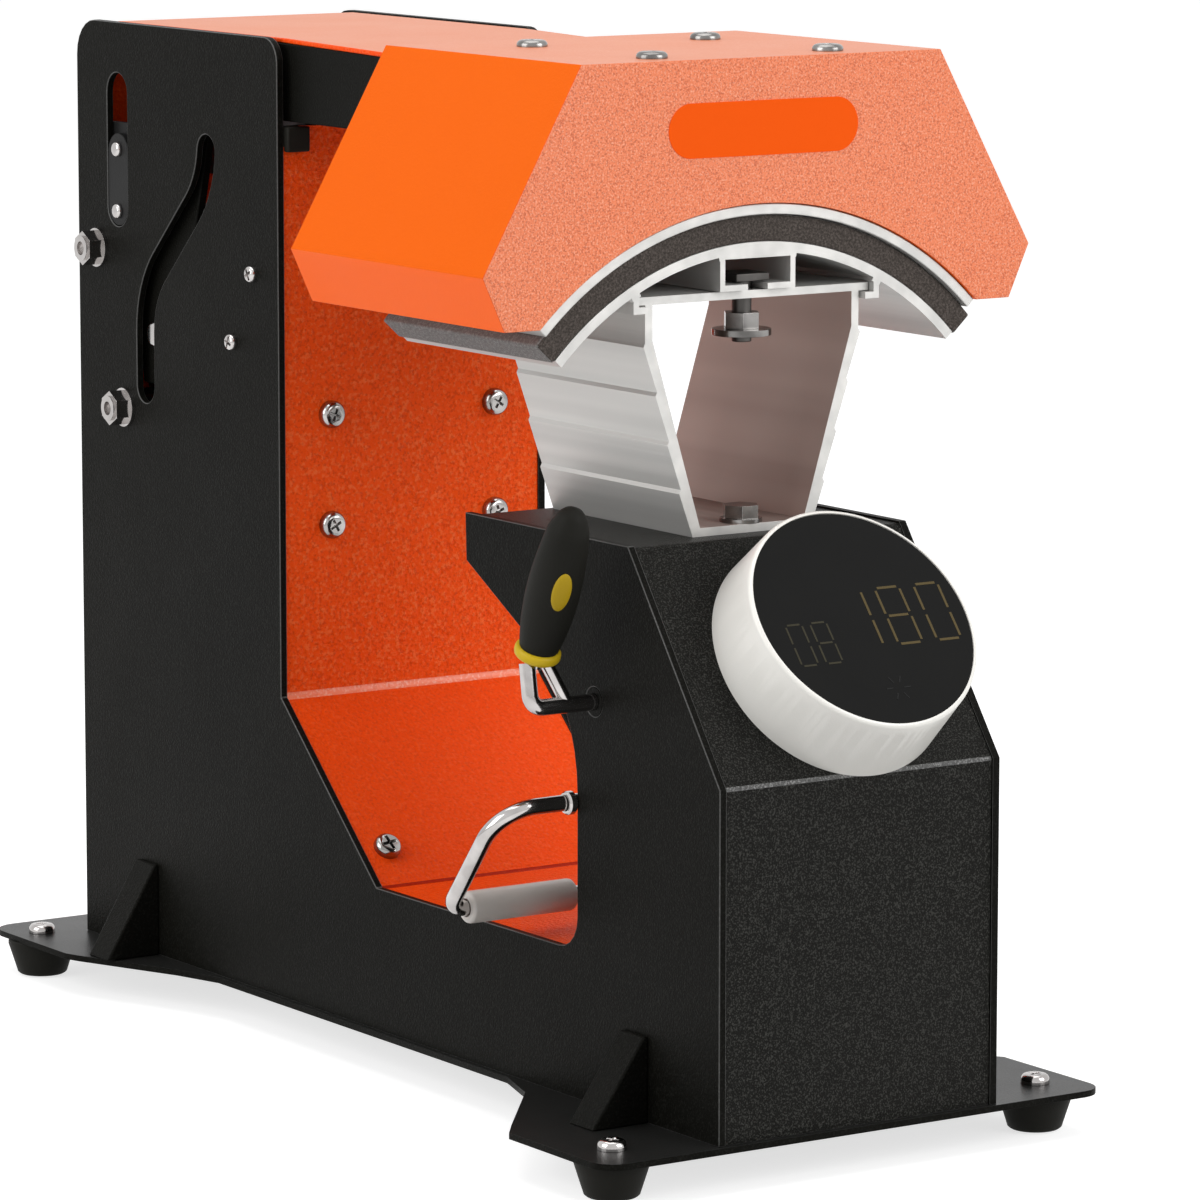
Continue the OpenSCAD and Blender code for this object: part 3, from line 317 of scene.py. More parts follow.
finishes = {
    "black_powder": powderMaterial("blackPowder", {
        "colour": (0.0034, 0.0033, 0.0026), "shade": (0.0066, 0.0064, 0.0052),
        "light": (0.026, 0.026, 0.023), "crestGlint": 0.3, "rough": 0.42, "spread": 0.14,
        "scale": 1500.0, "depth": 0.00016, "grit": 0.35, "specular": 0.03}),
    "orange_powder": powderMaterial("orangePowder", {
        "colour": (0.97, 0.086, 0.0050), "shade": (0.88, 0.066, 0.0033),
        "light": (1.0, 0.150, 0.035), "crestGlint": 0.35, "dark": (0.62, 0.040, 0.002), "pit": 0.35,
        "rough": 0.30, "spread": 0.1, "scale": 820.0, "depth": 0.0005, "grit": 0.25,
        "specular": 0.06}),
    "head_orange": powderMaterial("headOrange", {
        "colour": (0.80, 0.124, 0.0045), "shade": (0.77, 0.112, 0.004),
        "light": (0.83, 0.15, 0.012), "crestGlint": 0.2, "rough": 0.5, "spread": 0.06,
        "scale": 1500.0, "depth": 0.00008, "grit": 0.3, "specular": 0.03}),
    "black_rubber": plainMaterial("blackRubber", {
        "colour": (0.0085, 0.0083, 0.0068), "shade": (0.0135, 0.0130, 0.0105), "rough": 0.6,
        "depth": 0.00007, "specular": 0.09}),
    "chrome": metalMaterial("brightChrome", {
        "colour": (0.56, 0.54, 0.53), "shade": (0.42, 0.40, 0.39), "rough": 0.13, "spread": 0.1,
        "depth": 0.000006, "scale": 500.0}),
    "zinc_steel": metalMaterial("zincSteel", {
        "colour": (0.42, 0.42, 0.43), "shade": (0.24, 0.24, 0.245), "rough": 0.26, "depth": 0.00003,
        "scale": 700.0}),
    "spring_steel": metalMaterial("springSteel", {
        "colour": (0.42, 0.42, 0.44), "shade": (0.30, 0.30, 0.32), "rough": 0.3, "depth": 0.00002}),
    "aluminium": metalMaterial("satinAluminium", {
        "colour": (0.60, 0.59, 0.57), "shade": (0.49, 0.485, 0.47), "rough": 0.52, "spread": 0.1,
        "metallic": 0.72, "specular": 0.3, "depth": 0.00004, "scale": 900.0,
        "stretch": (1.0, 0.008, 1.0)}),
    "bronze": metalMaterial("plainBronze", {
        "colour": (0.30, 0.22, 0.11), "shade": (0.22, 0.15, 0.07), "rough": 0.42,
        "depth": 0.00004}),
    "black_plastic": plainMaterial("blackPlastic", {
        "colour": (0.008, 0.008, 0.008), "shade": (0.013, 0.013, 0.013), "rough": 0.45,
        "depth": 0.00006, "specular": 0.12}),
    "grey_plastic": plainMaterial("greyPlastic", {
        "colour": (0.10, 0.10, 0.105), "shade": (0.14, 0.14, 0.145), "rough": 0.5,
        "depth": 0.00006}),
    "circuit_board": plainMaterial("circuitBoard", {
        "colour": (0.01, 0.10, 0.03), "shade": (0.02, 0.15, 0.05), "rough": 0.35, "depth": 0.00005,
        "mottle": 400.0}),
    "red_plastic": plainMaterial("redPlastic", {
        "colour": (0.42, 0.012, 0.008), "shade": (0.36, 0.01, 0.007), "rough": 0.22,
        "depth": 0.00002}),
    "white_plastic": plainMaterial("whitePlastic", {
        "colour": (0.85, 0.835, 0.79), "shade": (0.79, 0.775, 0.73), "rough": 0.34,
        "spread": 0.03, "depth": 0.00003, "coat": 0.15}),
    "display_glass": plainMaterial("displayGlass", {
        "colour": (0.004, 0.004, 0.0038), "shade": (0.006, 0.006, 0.0056), "rough": 0.06,
        "spread": 0.03, "depth": 0.000001, "grain": 300.0, "specular": 0.12}),
    "insulation_wool": spongeMaterial("pressedWool", {
        "colour": (0.62, 0.58, 0.48), "light": (0.75, 0.72, 0.62), "rough": 0.9, "depth": 0.0004,
        "scale": 700.0, "specular": 0.2}),
    "silicone_grey": spongeMaterial("greySpongeSkin", {
        "colour": (0.17, 0.162, 0.157), "light": (0.31, 0.30, 0.295), "rough": 0.8,
        "depth": 0.00012, "scale": 1500.0, "specular": 0.15}),
    "yellow_plastic": plainMaterial("yellowPlastic", {
        "colour": (0.60, 0.42, 0.012), "shade": (0.52, 0.35, 0.010), "rough": 0.4, "depth": 0.00004,
        "specular": 0.2}),
    "roller_tube": plainMaterial("rollerTube", {
        "colour": (0.80, 0.76, 0.72), "shade": (0.70, 0.65, 0.60), "rough": 0.32, "depth": 0.00004,
        "transmission": 0.3}),
}

# second finishes, for faces and pieces that look different from their slot

# paler salmon copy of the head's orange for its front and rear plates, with a coarser peel: a
# painted sheen
headFrontSheen = powderMaterial("headFrontPeelSheen", {
    "colour": (0.88, 0.245, 0.108), "shade": (0.84, 0.215, 0.090), "light": (0.95, 0.46, 0.31),
    "crestGlint": 0.7, "dark": (0.52, 0.085, 0.028), "pit": 0.75, "rough": 0.45, "scale": 1500.0,
    "depth": 0.0002, "grit": 0.5, "specular": 0.3})
# brighter copy of the head's orange for its downward side facets: painted light in place of their
# shade
headLowerPaintedLight = powderMaterial("headLowerFacetsPaintedLight", {
    "colour": (0.98, 0.135, 0.008), "shade": (0.95, 0.125, 0.007), "light": (0.98, 0.17, 0.02),
    "crestGlint": 0.2, "rough": 0.45, "scale": 1500.0, "depth": 0.00008, "grit": 0.3, "specular": 0.11})
# darker copy of the head's orange for the bevels between its plates and sides: painted shade along
# the edges
headEdge = powderMaterial("headPlateEdgeShade", {
    "colour": (0.80, 0.070, 0.003), "shade": (0.74, 0.060, 0.002), "light": (0.86, 0.11, 0.012),
    "crestGlint": 0.3, "rough": 0.4, "scale": 1500.0, "depth": 0.00006, "specular": 0.04})
# brighter copy of the orange for the liner's upright back: painted light
linerBackPaintedLight = powderMaterial("linerBackPaintedLight", {
    "colour": (1.0, 0.100, 0.0055), "shade": (0.96, 0.084, 0.004), "light": (1.0, 0.22, 0.060),
    "crestGlint": 0.55, "dark": (0.66, 0.040, 0.0015), "pit": 0.55, "rough": 0.28, "spread": 0.1,
    "scale": 820.0, "depth": 0.0007, "grit": 0.3, "specular": 0.07})
foldShadow = powderMaterial("orangeFoldShadow", {
    "colour": (0.42, 0.018, 0.0015), "shade": (0.34, 0.012, 0.001), "light": (0.6, 0.05, 0.008),
    "crestGlint": 0.3, "rough": 0.4, "scale": 900.0, "depth": 0.0001, "specular": 0.05})
orangeSheen = powderMaterial("orangeTopSheen", {
    "colour": (0.62, 0.19, 0.08), "shade": (0.58, 0.17, 0.07), "light": (0.68, 0.28, 0.16),
    "crestGlint": 0.4, "rough": 0.44, "scale": 1300.0, "depth": 0.00006, "grit": 0.4, "specular": 0.54})
bareOrange = powderMaterial("blankPlateOrange", {
    "colour": (0.92, 0.102, 0.0034), "shade": (0.89, 0.096, 0.0030), "light": (0.93, 0.115, 0.007),
    "crestGlint": 0.15, "rough": 0.45, "scale": 1600.0, "depth": 0.00003, "specular": 0.04})
coarseBlack = powderMaterial("coarseBlackPowder", {
    "colour": (0.0065, 0.0064, 0.0055), "shade": (0.0100, 0.0098, 0.0085),
    "light": (0.090, 0.090, 0.082), "crestGlint": 0.5, "rough": 0.36, "scale": 2000.0, "depth": 0.0003,
    "grit": 0.4, "specular": 0.05})
# lighter black for the bevel strips of the side plates and front cover: a painted highlight along
# their edges
edgeHighlightBlack = powderMaterial("blackPowderEdgeHighlight", {
    "colour": (0.040, 0.040, 0.038), "shade": (0.060, 0.060, 0.057), "light": (0.13, 0.13, 0.127),
    "crestGlint": 0.4, "rough": 0.34, "scale": 1300.0, "depth": 0.00012, "grit": 0.4, "specular": 0.3})
# lighter black for the front cover's fold: a painted highlight
creaseHighlightBlack = powderMaterial("blackPowderFoldHighlight", {
    "colour": (0.055, 0.055, 0.053), "shade": (0.080, 0.080, 0.077), "light": (0.30, 0.30, 0.295),
    "crestGlint": 0.8, "dark": (0.012, 0.012, 0.011), "pit": 0.8, "rough": 0.32, "scale": 1500.0,
    "depth": 0.0003, "grit": 0.5, "specular": 0.4})
# brownish copy of the aluminium for the stand's inner faces: a painted reflection of the orange
aluminiumOrangeReflection = metalMaterial("aluminiumInsideReflection", {
    "colour": (0.48, 0.385, 0.345), "shade": (0.36, 0.280, 0.250), "rough": 0.46, "spread": 0.15,
    "metallic": 0.7, "specular": 0.2, "depth": 0.00004, "scale": 500.0,
    "stretch": (1.0, 0.02, 0.3)})
# pale orange for the liner's upper fold and its rim bevels: a painted highlight
foldHighlightOrange = powderMaterial("orangeFoldHighlight", {
    "colour": (1.0, 0.24, 0.11), "shade": (0.98, 0.19, 0.075), "light": (1.0, 0.42, 0.28),
    "crestGlint": 0.7, "rough": 0.28, "scale": 900.0, "depth": 0.0002, "grit": 0.4, "specular": 0.6})
blackSheen = powderMaterial("blackTopSheen", {
    "colour": (0.010, 0.010, 0.0095), "shade": (0.016, 0.016, 0.015),
    "light": (0.035, 0.035, 0.034), "crestGlint": 0.3, "rough": 0.32, "scale": 1500.0,
    "depth": 0.00008, "grit": 0.35, "specular": 0.16})
padCut = spongeMaterial("greySpongeCut", {
    "colour": (0.048, 0.040, 0.035), "light": (0.125, 0.105, 0.094), "rough": 0.85,
    "depth": 0.00022, "scale": 1500.0, "specular": 0.12})
screwChrome = metalMaterial("screwHeads", {
    "colour": (0.46, 0.44, 0.43), "shade": (0.26, 0.25, 0.24), "rough": 0.16, "depth": 0.00001,
    "scale": 500.0})
# near black steel for the clamp bolt: painted shade of the channel it sits in
steelInChannelShade = metalMaterial("steelInChannelShade", {
    "colour": (0.10, 0.095, 0.09), "shade": (0.06, 0.057, 0.054), "rough": 0.4, "depth": 0.00003,
    "scale": 600.0})
nutSteel = metalMaterial("darkPlatedSteel", {
    "colour": (0.30, 0.29, 0.28), "shade": (0.13, 0.125, 0.12), "rough": 0.2, "depth": 0.00002,
    "scale": 400.0})
inlayYellow = plainMaterial("inlayYellow", {
    "colour": (0.44, 0.30, 0.012), "shade": (0.36, 0.235, 0.010), "rough": 0.45, "depth": 0.00004,
    "specular": 0.15})
amberGlow = plainMaterial("amberSegments", {
    "colour": (0.080, 0.060, 0.026), "shade": (0.070, 0.052, 0.022), "rough": 0.3,
    "depth": 0.000001, "glow": 0.3, "specular": 0.1})
amberDim = plainMaterial("amberSegmentsDim", {
    "colour": (0.034, 0.031, 0.020), "shade": (0.030, 0.027, 0.017), "rough": 0.3,
    "depth": 0.000001, "glow": 0.3, "specular": 0.1})
faintMark = plainMaterial("touchMark", {
    "colour": (0.016, 0.016, 0.016), "shade": (0.013, 0.013, 0.013), "rough": 0.3,
    "depth": 0.000001, "specular": 0.1})
print("finishes made")


# Helpers for meshes

cadWeld, cadFlat = 0.000004, math.radians(0.6)


def bodyOf(node):
    return frame["nodes"][node]["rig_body"]


def slotOf(node):
    for entry in frame["record"]["subparts"]:
        if entry["node"] == node:
            return entry["material_slot"]
    return None


def middleOf(node):
    low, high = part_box(node)
    return (Vector(low) + Vector(high)) / 2


def smoothByAngle(bm, degrees=34.0, strips=()):
    # edges beside a bevel's strips stay sharp, so wide flat faces keep their own normals
    limit = math.radians(degrees)
    strips = set(strips)
    for face in bm.faces:
        face.smooth = True
    for edge in bm.edges:
        beside = sum(1 for face in edge.link_faces if face in strips)
        edge.smooth = (len(edge.link_faces) == 2 and beside != 1
                       and (beside == 2 or edge.calc_face_angle(0.0) < limit))


def linkedObject(bm, name):
    mesh = bpy.data.meshes.new(name)
    bm.to_mesh(mesh)
    bm.free()
    thing = bpy.data.objects.new(name, mesh)
    bpy.context.scene.collection.objects.link(thing)
    return thing


def joinInto(target, bm):
    mesh = bpy.data.meshes.new("joined")
    bm.to_mesh(mesh)
    bm.free()
    target.from_mesh(mesh)
    bpy.data.meshes.remove(mesh)


def spinClosed(bm, verts, edges, axis, segments, weld):
    # turns a profile once round an axis through the origin and closes its seam
    bmesh.ops.spin(bm, geom=verts + edges, cent=(0, 0, 0), axis=axis, angle=math.tau,
                   steps=segments, use_merge=True, use_duplicate=False)
    bmesh.ops.remove_doubles(bm, verts=bm.verts, dist=weld)


def makePiece(bm, name, body, slotName, material=None, angle=34.0, strips=()):
    # a piece without a body is left unattached
    bmesh.ops.recalc_face_normals(bm, faces=bm.faces)
    smoothByAngle(bm, angle, strips)
    piece = linkedObject(bm, name)
    piece.data.materials.append(material or finishes[slotName])
    if body:
        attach(piece, body)
    return piece


def cadCopy(node):
    bm = bmesh.new()
    bm.from_mesh(frame["nodes"][node].data)
    bmesh.ops.remove_doubles(bm, verts=bm.verts, dist=cadWeld)
    bmesh.ops.dissolve_limit(bm, angle_limit=cadFlat, verts=bm.verts, edges=bm.edges)
    bmesh.ops.recalc_face_normals(bm, faces=bm.faces)
    return bm


def breakEdges(bm, width, segments=2, angle=40.0):
    limit = math.radians(angle)
    sharp = [e for e in bm.edges if len(e.link_faces) == 2 and e.calc_face_angle(0.0) > limit]
    made = bmesh.ops.bevel(bm, geom=sharp, offset=width, offset_type="OFFSET", segments=segments,
                           profile=0.5, affect="EDGES", clamp_overlap=True, material=-1)
    return made["faces"]


def softened(node, width, segments=2, cutter=None, material=None, edgeFinish=None):
    # a copy of the CAD node with its edges broken as the real piece's are
    bm = cadCopy(node)
    if cutter is not None:
        bm = cutAway(bm, cutter)
    strips = breakEdges(bm, width, segments) if width > 0 else ()
    for face in strips:
        face.material_index = 1 if edgeFinish else 0
    piece = makePiece(bm, node + "Soft", bodyOf(node), slotOf(node), material, strips=strips)
    if edgeFinish:
        piece.data.materials.append(edgeFinish)
    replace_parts(piece, node)
    return piece


def paintFaces(piece, material, wanted):
    # gives the faces that answer the test a second finish
    piece.data.materials.append(material)
    index = len(piece.data.materials) - 1
    for face in piece.data.polygons:
        if wanted(face):
            face.material_index = index


def cutAway(bm, cutterBm):
    # cuts once in throw-away objects and hands back a plain mesh
    for part in (bm, cutterBm):
        bmesh.ops.recalc_face_normals(part, faces=part.faces)
    whole, cutter = linkedObject(bm, "whole"), linkedObject(cutterBm, "cutter")
    boolean = whole.modifiers.new("cut", "BOOLEAN")
    boolean.operation = "DIFFERENCE"
    boolean.solver = "EXACT"
    boolean.object = cutter
    bpy.context.view_layer.update()
    evaluated = whole.evaluated_get(bpy.context.evaluated_depsgraph_get())
    result = bmesh.new()
    result.from_mesh(evaluated.to_mesh())
    evaluated.to_mesh_clear()
    for thing in (whole, cutter):
        mesh = thing.data
        bpy.data.objects.remove(thing)
        bpy.data.meshes.remove(mesh)
    return result


def islandBoxes(node):
    # the box of each separate solid in a CAD node
    bm = bmesh.new()
    bm.from_mesh(frame["nodes"][node].data)
    bmesh.ops.remove_doubles(bm, verts=bm.verts, dist=cadWeld)
    seen = set()
    boxes = []
    for start in bm.verts:
        if start in seen:
            continue
        stack, members = [start], []
        seen.add(start)
        while stack:
            vert = stack.pop()
            members.append(vert.co.copy())
            for edge in vert.link_edges:
                other = edge.other_vert(vert)
                if other not in seen:
                    seen.add(other)
                    stack.append(other)
        boxes.append(tuple(Vector([pick(co[i] for co in members) for i in range(3)])
                           for pick in (min, max)))
    bm.free()
    return boxes


# Sheet metal, extrusions and mouldings with their edges broken

edgeWidths = {
    "base_plate": 0.0005, "gussets": 0.0006, "arm_stops": 0.0006, "pedestal_back": 0.0002,
    "rear_cover": 0.0004, "left_arm_plate": 0.0005, "right_arm_plate": 0.0005,
    "arm_cover": 0.0004, "head_hanger": 0.0004, "heater_platen": 0.0003, "silicone_pad": 0.0006,
    "platen_stand": 0.0003, "insulation": 0.0008, "rubber_feet": 0.0005,
    "controller_housing": 0.0003, "display_glass": 0.0002, "power_inlet": 0.0005,
    "switch_housing": 0.0004, "switch_rocker": 0.0004, "slider_blocks": 0.0004,
    "stand_bolts": 0.0003, "clamp_bolt": 0.0003, "clamp_nut": 0.0003, "lever_crank": 0.0003,
    "bail_crank": 0.0003, "tension_link": 0.0003, "armature": 0.0006, "electromagnet": 0.0005,
    "closing_switch": 0.0003, "magnet_bracket": 0.0003, "spring_shelf": 0.0003,
    "tie_rods": 0.0004, "cable_clip": 0.0003, "lever_bushes": 0.0002, "bail_bearings": 0.0003,
    "pivot_shaft": 0.0003, "cam_shaft": 0.0004, "spring_saddles": 0.0004, "bail_rod": 0.0,
    "lever_rod": 0.0, "control_board": 0.0002, "board_standoffs": 0.0002,
    "controller_board": 0.0002, "slider_screws": 0.0002, "side_bolts": 0.0003,
}
paintSettings = {
    "plateEdge": 0.0006, "coverEdge": 0.0003, "linerEdge": 0.0005, "headEdge": 0.0008,
    "arcEdge": 0.00025, "flat": 0.9, "level": 0.9995, "upright": 0.99, "square": 0.1,
    "coverCrease": (0.05, 0.56), "linerUpper": (0.05, 0.72), "linerLower": (0.765, 0.985),
    "headUnder": -0.15, "headOutward": 0.4,
}


def alongAxis(axis, least):
    # a test for faces that look along an axis, either way
    return lambda face: abs(face.normal[axis]) > least


def lookingUp(least):
    return lambda face: face.normal.z > least


def inFold(band, square):
    # a test for the faces of a cross fold at the front, by how far they lean back
    return lambda face: (face.normal.y < 0 and band[0] < face.normal.z < band[1]
                         and abs(face.normal.x) < square)


softParts = {node: softened(node, width) for node, width in edgeWidths.items()}


def buildSheets(s=paintSettings):
    # the side plates' bevel strips get a painted highlight
    for node in ("left_side_plate", "right_side_plate"):
        softened(node, s["plateEdge"], edgeFinish=edgeHighlightBlack)

    # painted highlights on the folds of the two sheets, where they catch the light, and a painted
    # shadow in the liner's lower fold; the bevel strips of cover and liner get painted highlights
    # too
    cover = softened("front_cover", s["coverEdge"], material=coarseBlack, edgeFinish=edgeHighlightBlack)
    paintFaces(cover, creaseHighlightBlack, inFold(s["coverCrease"], s["square"]))
    liner = softened("throat_liner", s["linerEdge"], edgeFinish=foldHighlightOrange)
    # the liner's upright back gets a brighter copy of the orange: painted light
    paintFaces(liner, linerBackPaintedLight,
               lambda face: face.normal.y < -s["upright"] and face.material_index == 0)
    paintFaces(liner, foldHighlightOrange, inFold(s["linerUpper"], s["square"]))
    paintFaces(liner, foldShadow, inFold(s["linerLower"], s["square"]))


def buildHead(s=paintSettings):
    # the head's front and rear plates get a paler salmon copy of the orange with a coarser peel
    # than its folded sides, a painted sheen; its top a painted sheen; the bevels between plates and
    # sides a darker copy, painted shade; the lower side facets a brighter copy, painted light
    head = softened("head_housing", s["headEdge"])
    paintFaces(head, headEdge, lambda face: s["square"] < abs(face.normal.y) <= s["flat"])
    paintFaces(head, headFrontSheen, alongAxis(1, s["flat"]))
    paintFaces(head, orangeSheen, lookingUp(s["flat"]))
    paintFaces(head, headLowerPaintedLight,
               lambda face: (face.normal.z < s["headUnder"] and abs(face.normal.y) < s["square"]
                             and abs(face.normal.x) > s["headOutward"]))


def lookInward(piece, lift=0.0002, reach=0.12):
    # faces of a hollow section that look at its own far wall
    bm = bmesh.new()
    bm.from_mesh(piece.data)
    tree = BVHTree.FromBMesh(bm)
    found = set()
    for face in bm.faces:
        if abs(face.normal.y) < 0.5:
            start = face.calc_center_median() + face.normal * lift
            if tree.ray_cast(start, face.normal, reach)[0] is not None:
                found.add(face.index)
    bm.free()
    return found


# The arc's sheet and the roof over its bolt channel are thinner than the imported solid's

arcSettings = {
    "centreZ": 0.174, "inner": 0.0949, "outer": 0.0966, "steps": 28,
    "sectors": ((8.4, 26.2), (28.1, 50.0)), "channelHalf": 0.0119, "roof": (0.2660, 0.2689),
    "overrun": 0.004,
}


def buildArc(s=arcSettings):
    low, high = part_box("platen_arc")
    middle, length = (low[1] + high[1]) / 2, high[1] - low[1] + s["overrun"]
    cutter = bmesh.new()
    for side in (-1, 1):
        for start, end in s["sectors"]:
            bm = bmesh.new()
            bmesh.ops.create_grid(bm, x_segments=s["steps"], y_segments=1, size=0.5)
            raised = bmesh.ops.extrude_face_region(bm, geom=list(bm.faces))["geom"]
            top = [g for g in raised if isinstance(g, bmesh.types.BMVert)]
            bmesh.ops.translate(bm, verts=top, vec=(0, 0, 1))
            for vert in bm.verts:
                angle = side * math.radians(start + (vert.co.x + 0.5) * (end - start))
                radius = s["inner"] + vert.co.z * (s["outer"] - s["inner"])
                vert.co = (radius * math.sin(angle), middle + vert.co.y * length,
                           s["centreZ"] + radius * math.cos(angle))
            bmesh.ops.recalc_face_normals(bm, faces=bm.faces)
            joinInto(cutter, bm)
    bottom, top = s["roof"]
    made = bmesh.ops.create_cube(cutter, size=1.0)["verts"]
    bmesh.ops.scale(cutter, vec=(2 * s["channelHalf"], length, top - bottom), verts=made)
    bmesh.ops.translate(cutter, vec=(0, middle, (top + bottom) / 2), verts=made)
    softened("platen_arc", paintSettings["arcEdge"], cutter=cutter)


def paintParts(s=paintSettings):
    paintFaces(softParts["base_plate"], blackSheen, lookingUp(s["flat"]))
    paintFaces(softParts["arm_cover"], orangeSheen, lookingUp(s["level"]))
    paintFaces(softParts["silicone_pad"], padCut, alongAxis(1, s["flat"]))
    # the stand's faces that look at its own far wall get a painted reflection of the orange
    inward = lookInward(softParts["platen_stand"])
    paintFaces(softParts["platen_stand"], aluminiumOrangeReflection, lambda face: face.index in inward)
    # the clamp bolt gets near black steel, painted shade of its channel
    for node, finish in (("lever_bushes", finishes["black_powder"]), ("clamp_bolt", steelInChannelShade),
                         ("clamp_nut", nutSteel), ("stand_bolts", nutSteel),
                         ("side_bolts", finishes["chrome"])):
        softParts[node].data.materials[0] = finish


buildSheets()
buildHead()
buildArc()
paintParts()
print("sheet metal done")


# Screws with their recesses

screwSettings = {
    "size": 0.0056, "depth": 0.0014, "cornerFrom": 0.1, "innerWithin": 0.4, "armHalf": 0.11,
    "taper": 0.5, "firstTurn": 0.5, "turnStep": 0.7, "edge": 0.00015, "flattened": 0.7,
    "linerHead": 0.0045, "slopeBelow": 0.1, "slopeOutward": (0, -0.669, 0.743),
}


def crossRecess(cutter, place, outward, turn, s=screwSettings):
    # a plus-shaped plug that tapers inwards, sunk into a screw head
    size, depth = s["size"], s["depth"]
    bm = bmesh.new()
    bmesh.ops.create_grid(bm, x_segments=3, y_segments=3, size=size / 2)
    corners = [f for f in bm.faces
               if min(abs(c) for c in f.calc_center_median()[:2]) > size * s["cornerFrom"]]
    bmesh.ops.delete(bm, geom=corners, context="FACES")
    for vert in bm.verts:
        for axis in (0, 1):
            if abs(vert.co[axis]) < size * s["innerWithin"]:
                vert.co[axis] = math.copysign(size * s["armHalf"], vert.co[axis])
    made = bmesh.ops.extrude_face_region(bm, geom=list(bm.faces))["geom"]
    deep = [g for g in made if isinstance(g, bmesh.types.BMVert)]
    shallow = [v for v in bm.verts if v not in deep]
    bmesh.ops.translate(bm, verts=deep, vec=(0, 0, -depth))
    bmesh.ops.scale(bm, verts=deep, vec=(s["taper"], s["taper"], 1.0))
    bmesh.ops.translate(bm, verts=shallow, vec=(0, 0, depth))
    turned = Vector((0, 0, 1)).rotation_difference(outward).to_matrix().to_4x4()
    bmesh.ops.transform(bm, verts=bm.verts, matrix=(
        Matrix.Translation(place) @ turned @ Matrix.Rotation(turn, 4, "Z")))
    joinInto(cutter, bm)


def headCentre(low, high, outward, headRadius):
    # middle of a screw head's top, for a screw whose box and direction are known
    middle = (low + high) / 2
    reach = sum(abs(outward[i]) * (high[i] - low[i]) / 2 for i in range(3))
    side = math.hypot(outward.y, outward.z)
    tilt = 2 * abs(outward.y * outward.z) if side > 0.5 else 0.0
    return middle + outward * (reach - tilt * headRadius)


def recessedScrews(node, outwardOf, headRadius=0.0, finish=None, s=screwSettings):
    cutter = bmesh.new()
    for index, (low, high) in enumerate(islandBoxes(node)):
        outward = outwardOf(low).normalized()
        crossRecess(cutter, headCentre(low, high, outward, headRadius), outward,
                    s["firstTurn"] + index * s["turnStep"])
    return softened(node, s["edge"], 1, cutter, finish)


def linerScrewOutward(low, s=screwSettings):
    # the two lowest screws sit on the liner's slope, the others on its upright back
    return Vector((0, -1, 0)) if low.z > s["slopeBelow"] else Vector(s["slopeOutward"])


def buildScrews(s=screwSettings):
    headScrews = recessedScrews("head_screws", lambda low: Vector((0, 0, 1)), finish=nutSteel)
    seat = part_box("head_housing")[1][2]
    for vert in headScrews.data.vertices:
        if vert.co.z > seat:
            vert.co.z = seat + s["flattened"] * (vert.co.z - seat)
    recessedScrews("foot_screws", lambda low: Vector((0, 0, 1)))
    recessedScrews("side_screws", lambda low: Vector((-1, 0, 0)))
    recessedScrews("liner_screws", linerScrewOutward, s["linerHead"], screwChrome)


buildScrews()
print("screws done")


# Rubber grip of the tension lever

gripSettings = {
    "tilt": 23.6, "collarReach": 0.0023, "length": 0.0515, "start": 0.0024, "radius": 0.0081,
    "rings": 40, "segments": 56, "flutes": 4, "fluteDepth": 0.03, "inlayTurn": 19.0,
    "inlayAt": 0.0268, "inlaySize": (0.0029, 0.0012, 0.0064), "collarHeight": 0.0034,
    "collarRadius": 0.0071, "collarRound": 0.0012, "collarBore": 0.0030, "neckBore": 0.0026,
    "inlaySunk": 0.955,
}


def gripRadius(t, s=gripSettings):
    # slim neck over the collar, swelling to a belly and closing in a dome under a shallow ring
    swell = min(170.0, 150.0 * t ** 0.85 + 18.0)
    belly = 0.60 + 0.40 * math.sin(math.radians(swell)) ** 1.2
    ring = 1.0 - 0.05 * math.exp(-((t - 0.90) / 0.025) ** 2)
    dome = math.sqrt(max(0.0, 1.0 - max(0.0, (t - 0.80) / 0.20) ** 2.4))
    return s["radius"] * belly * ring * dome


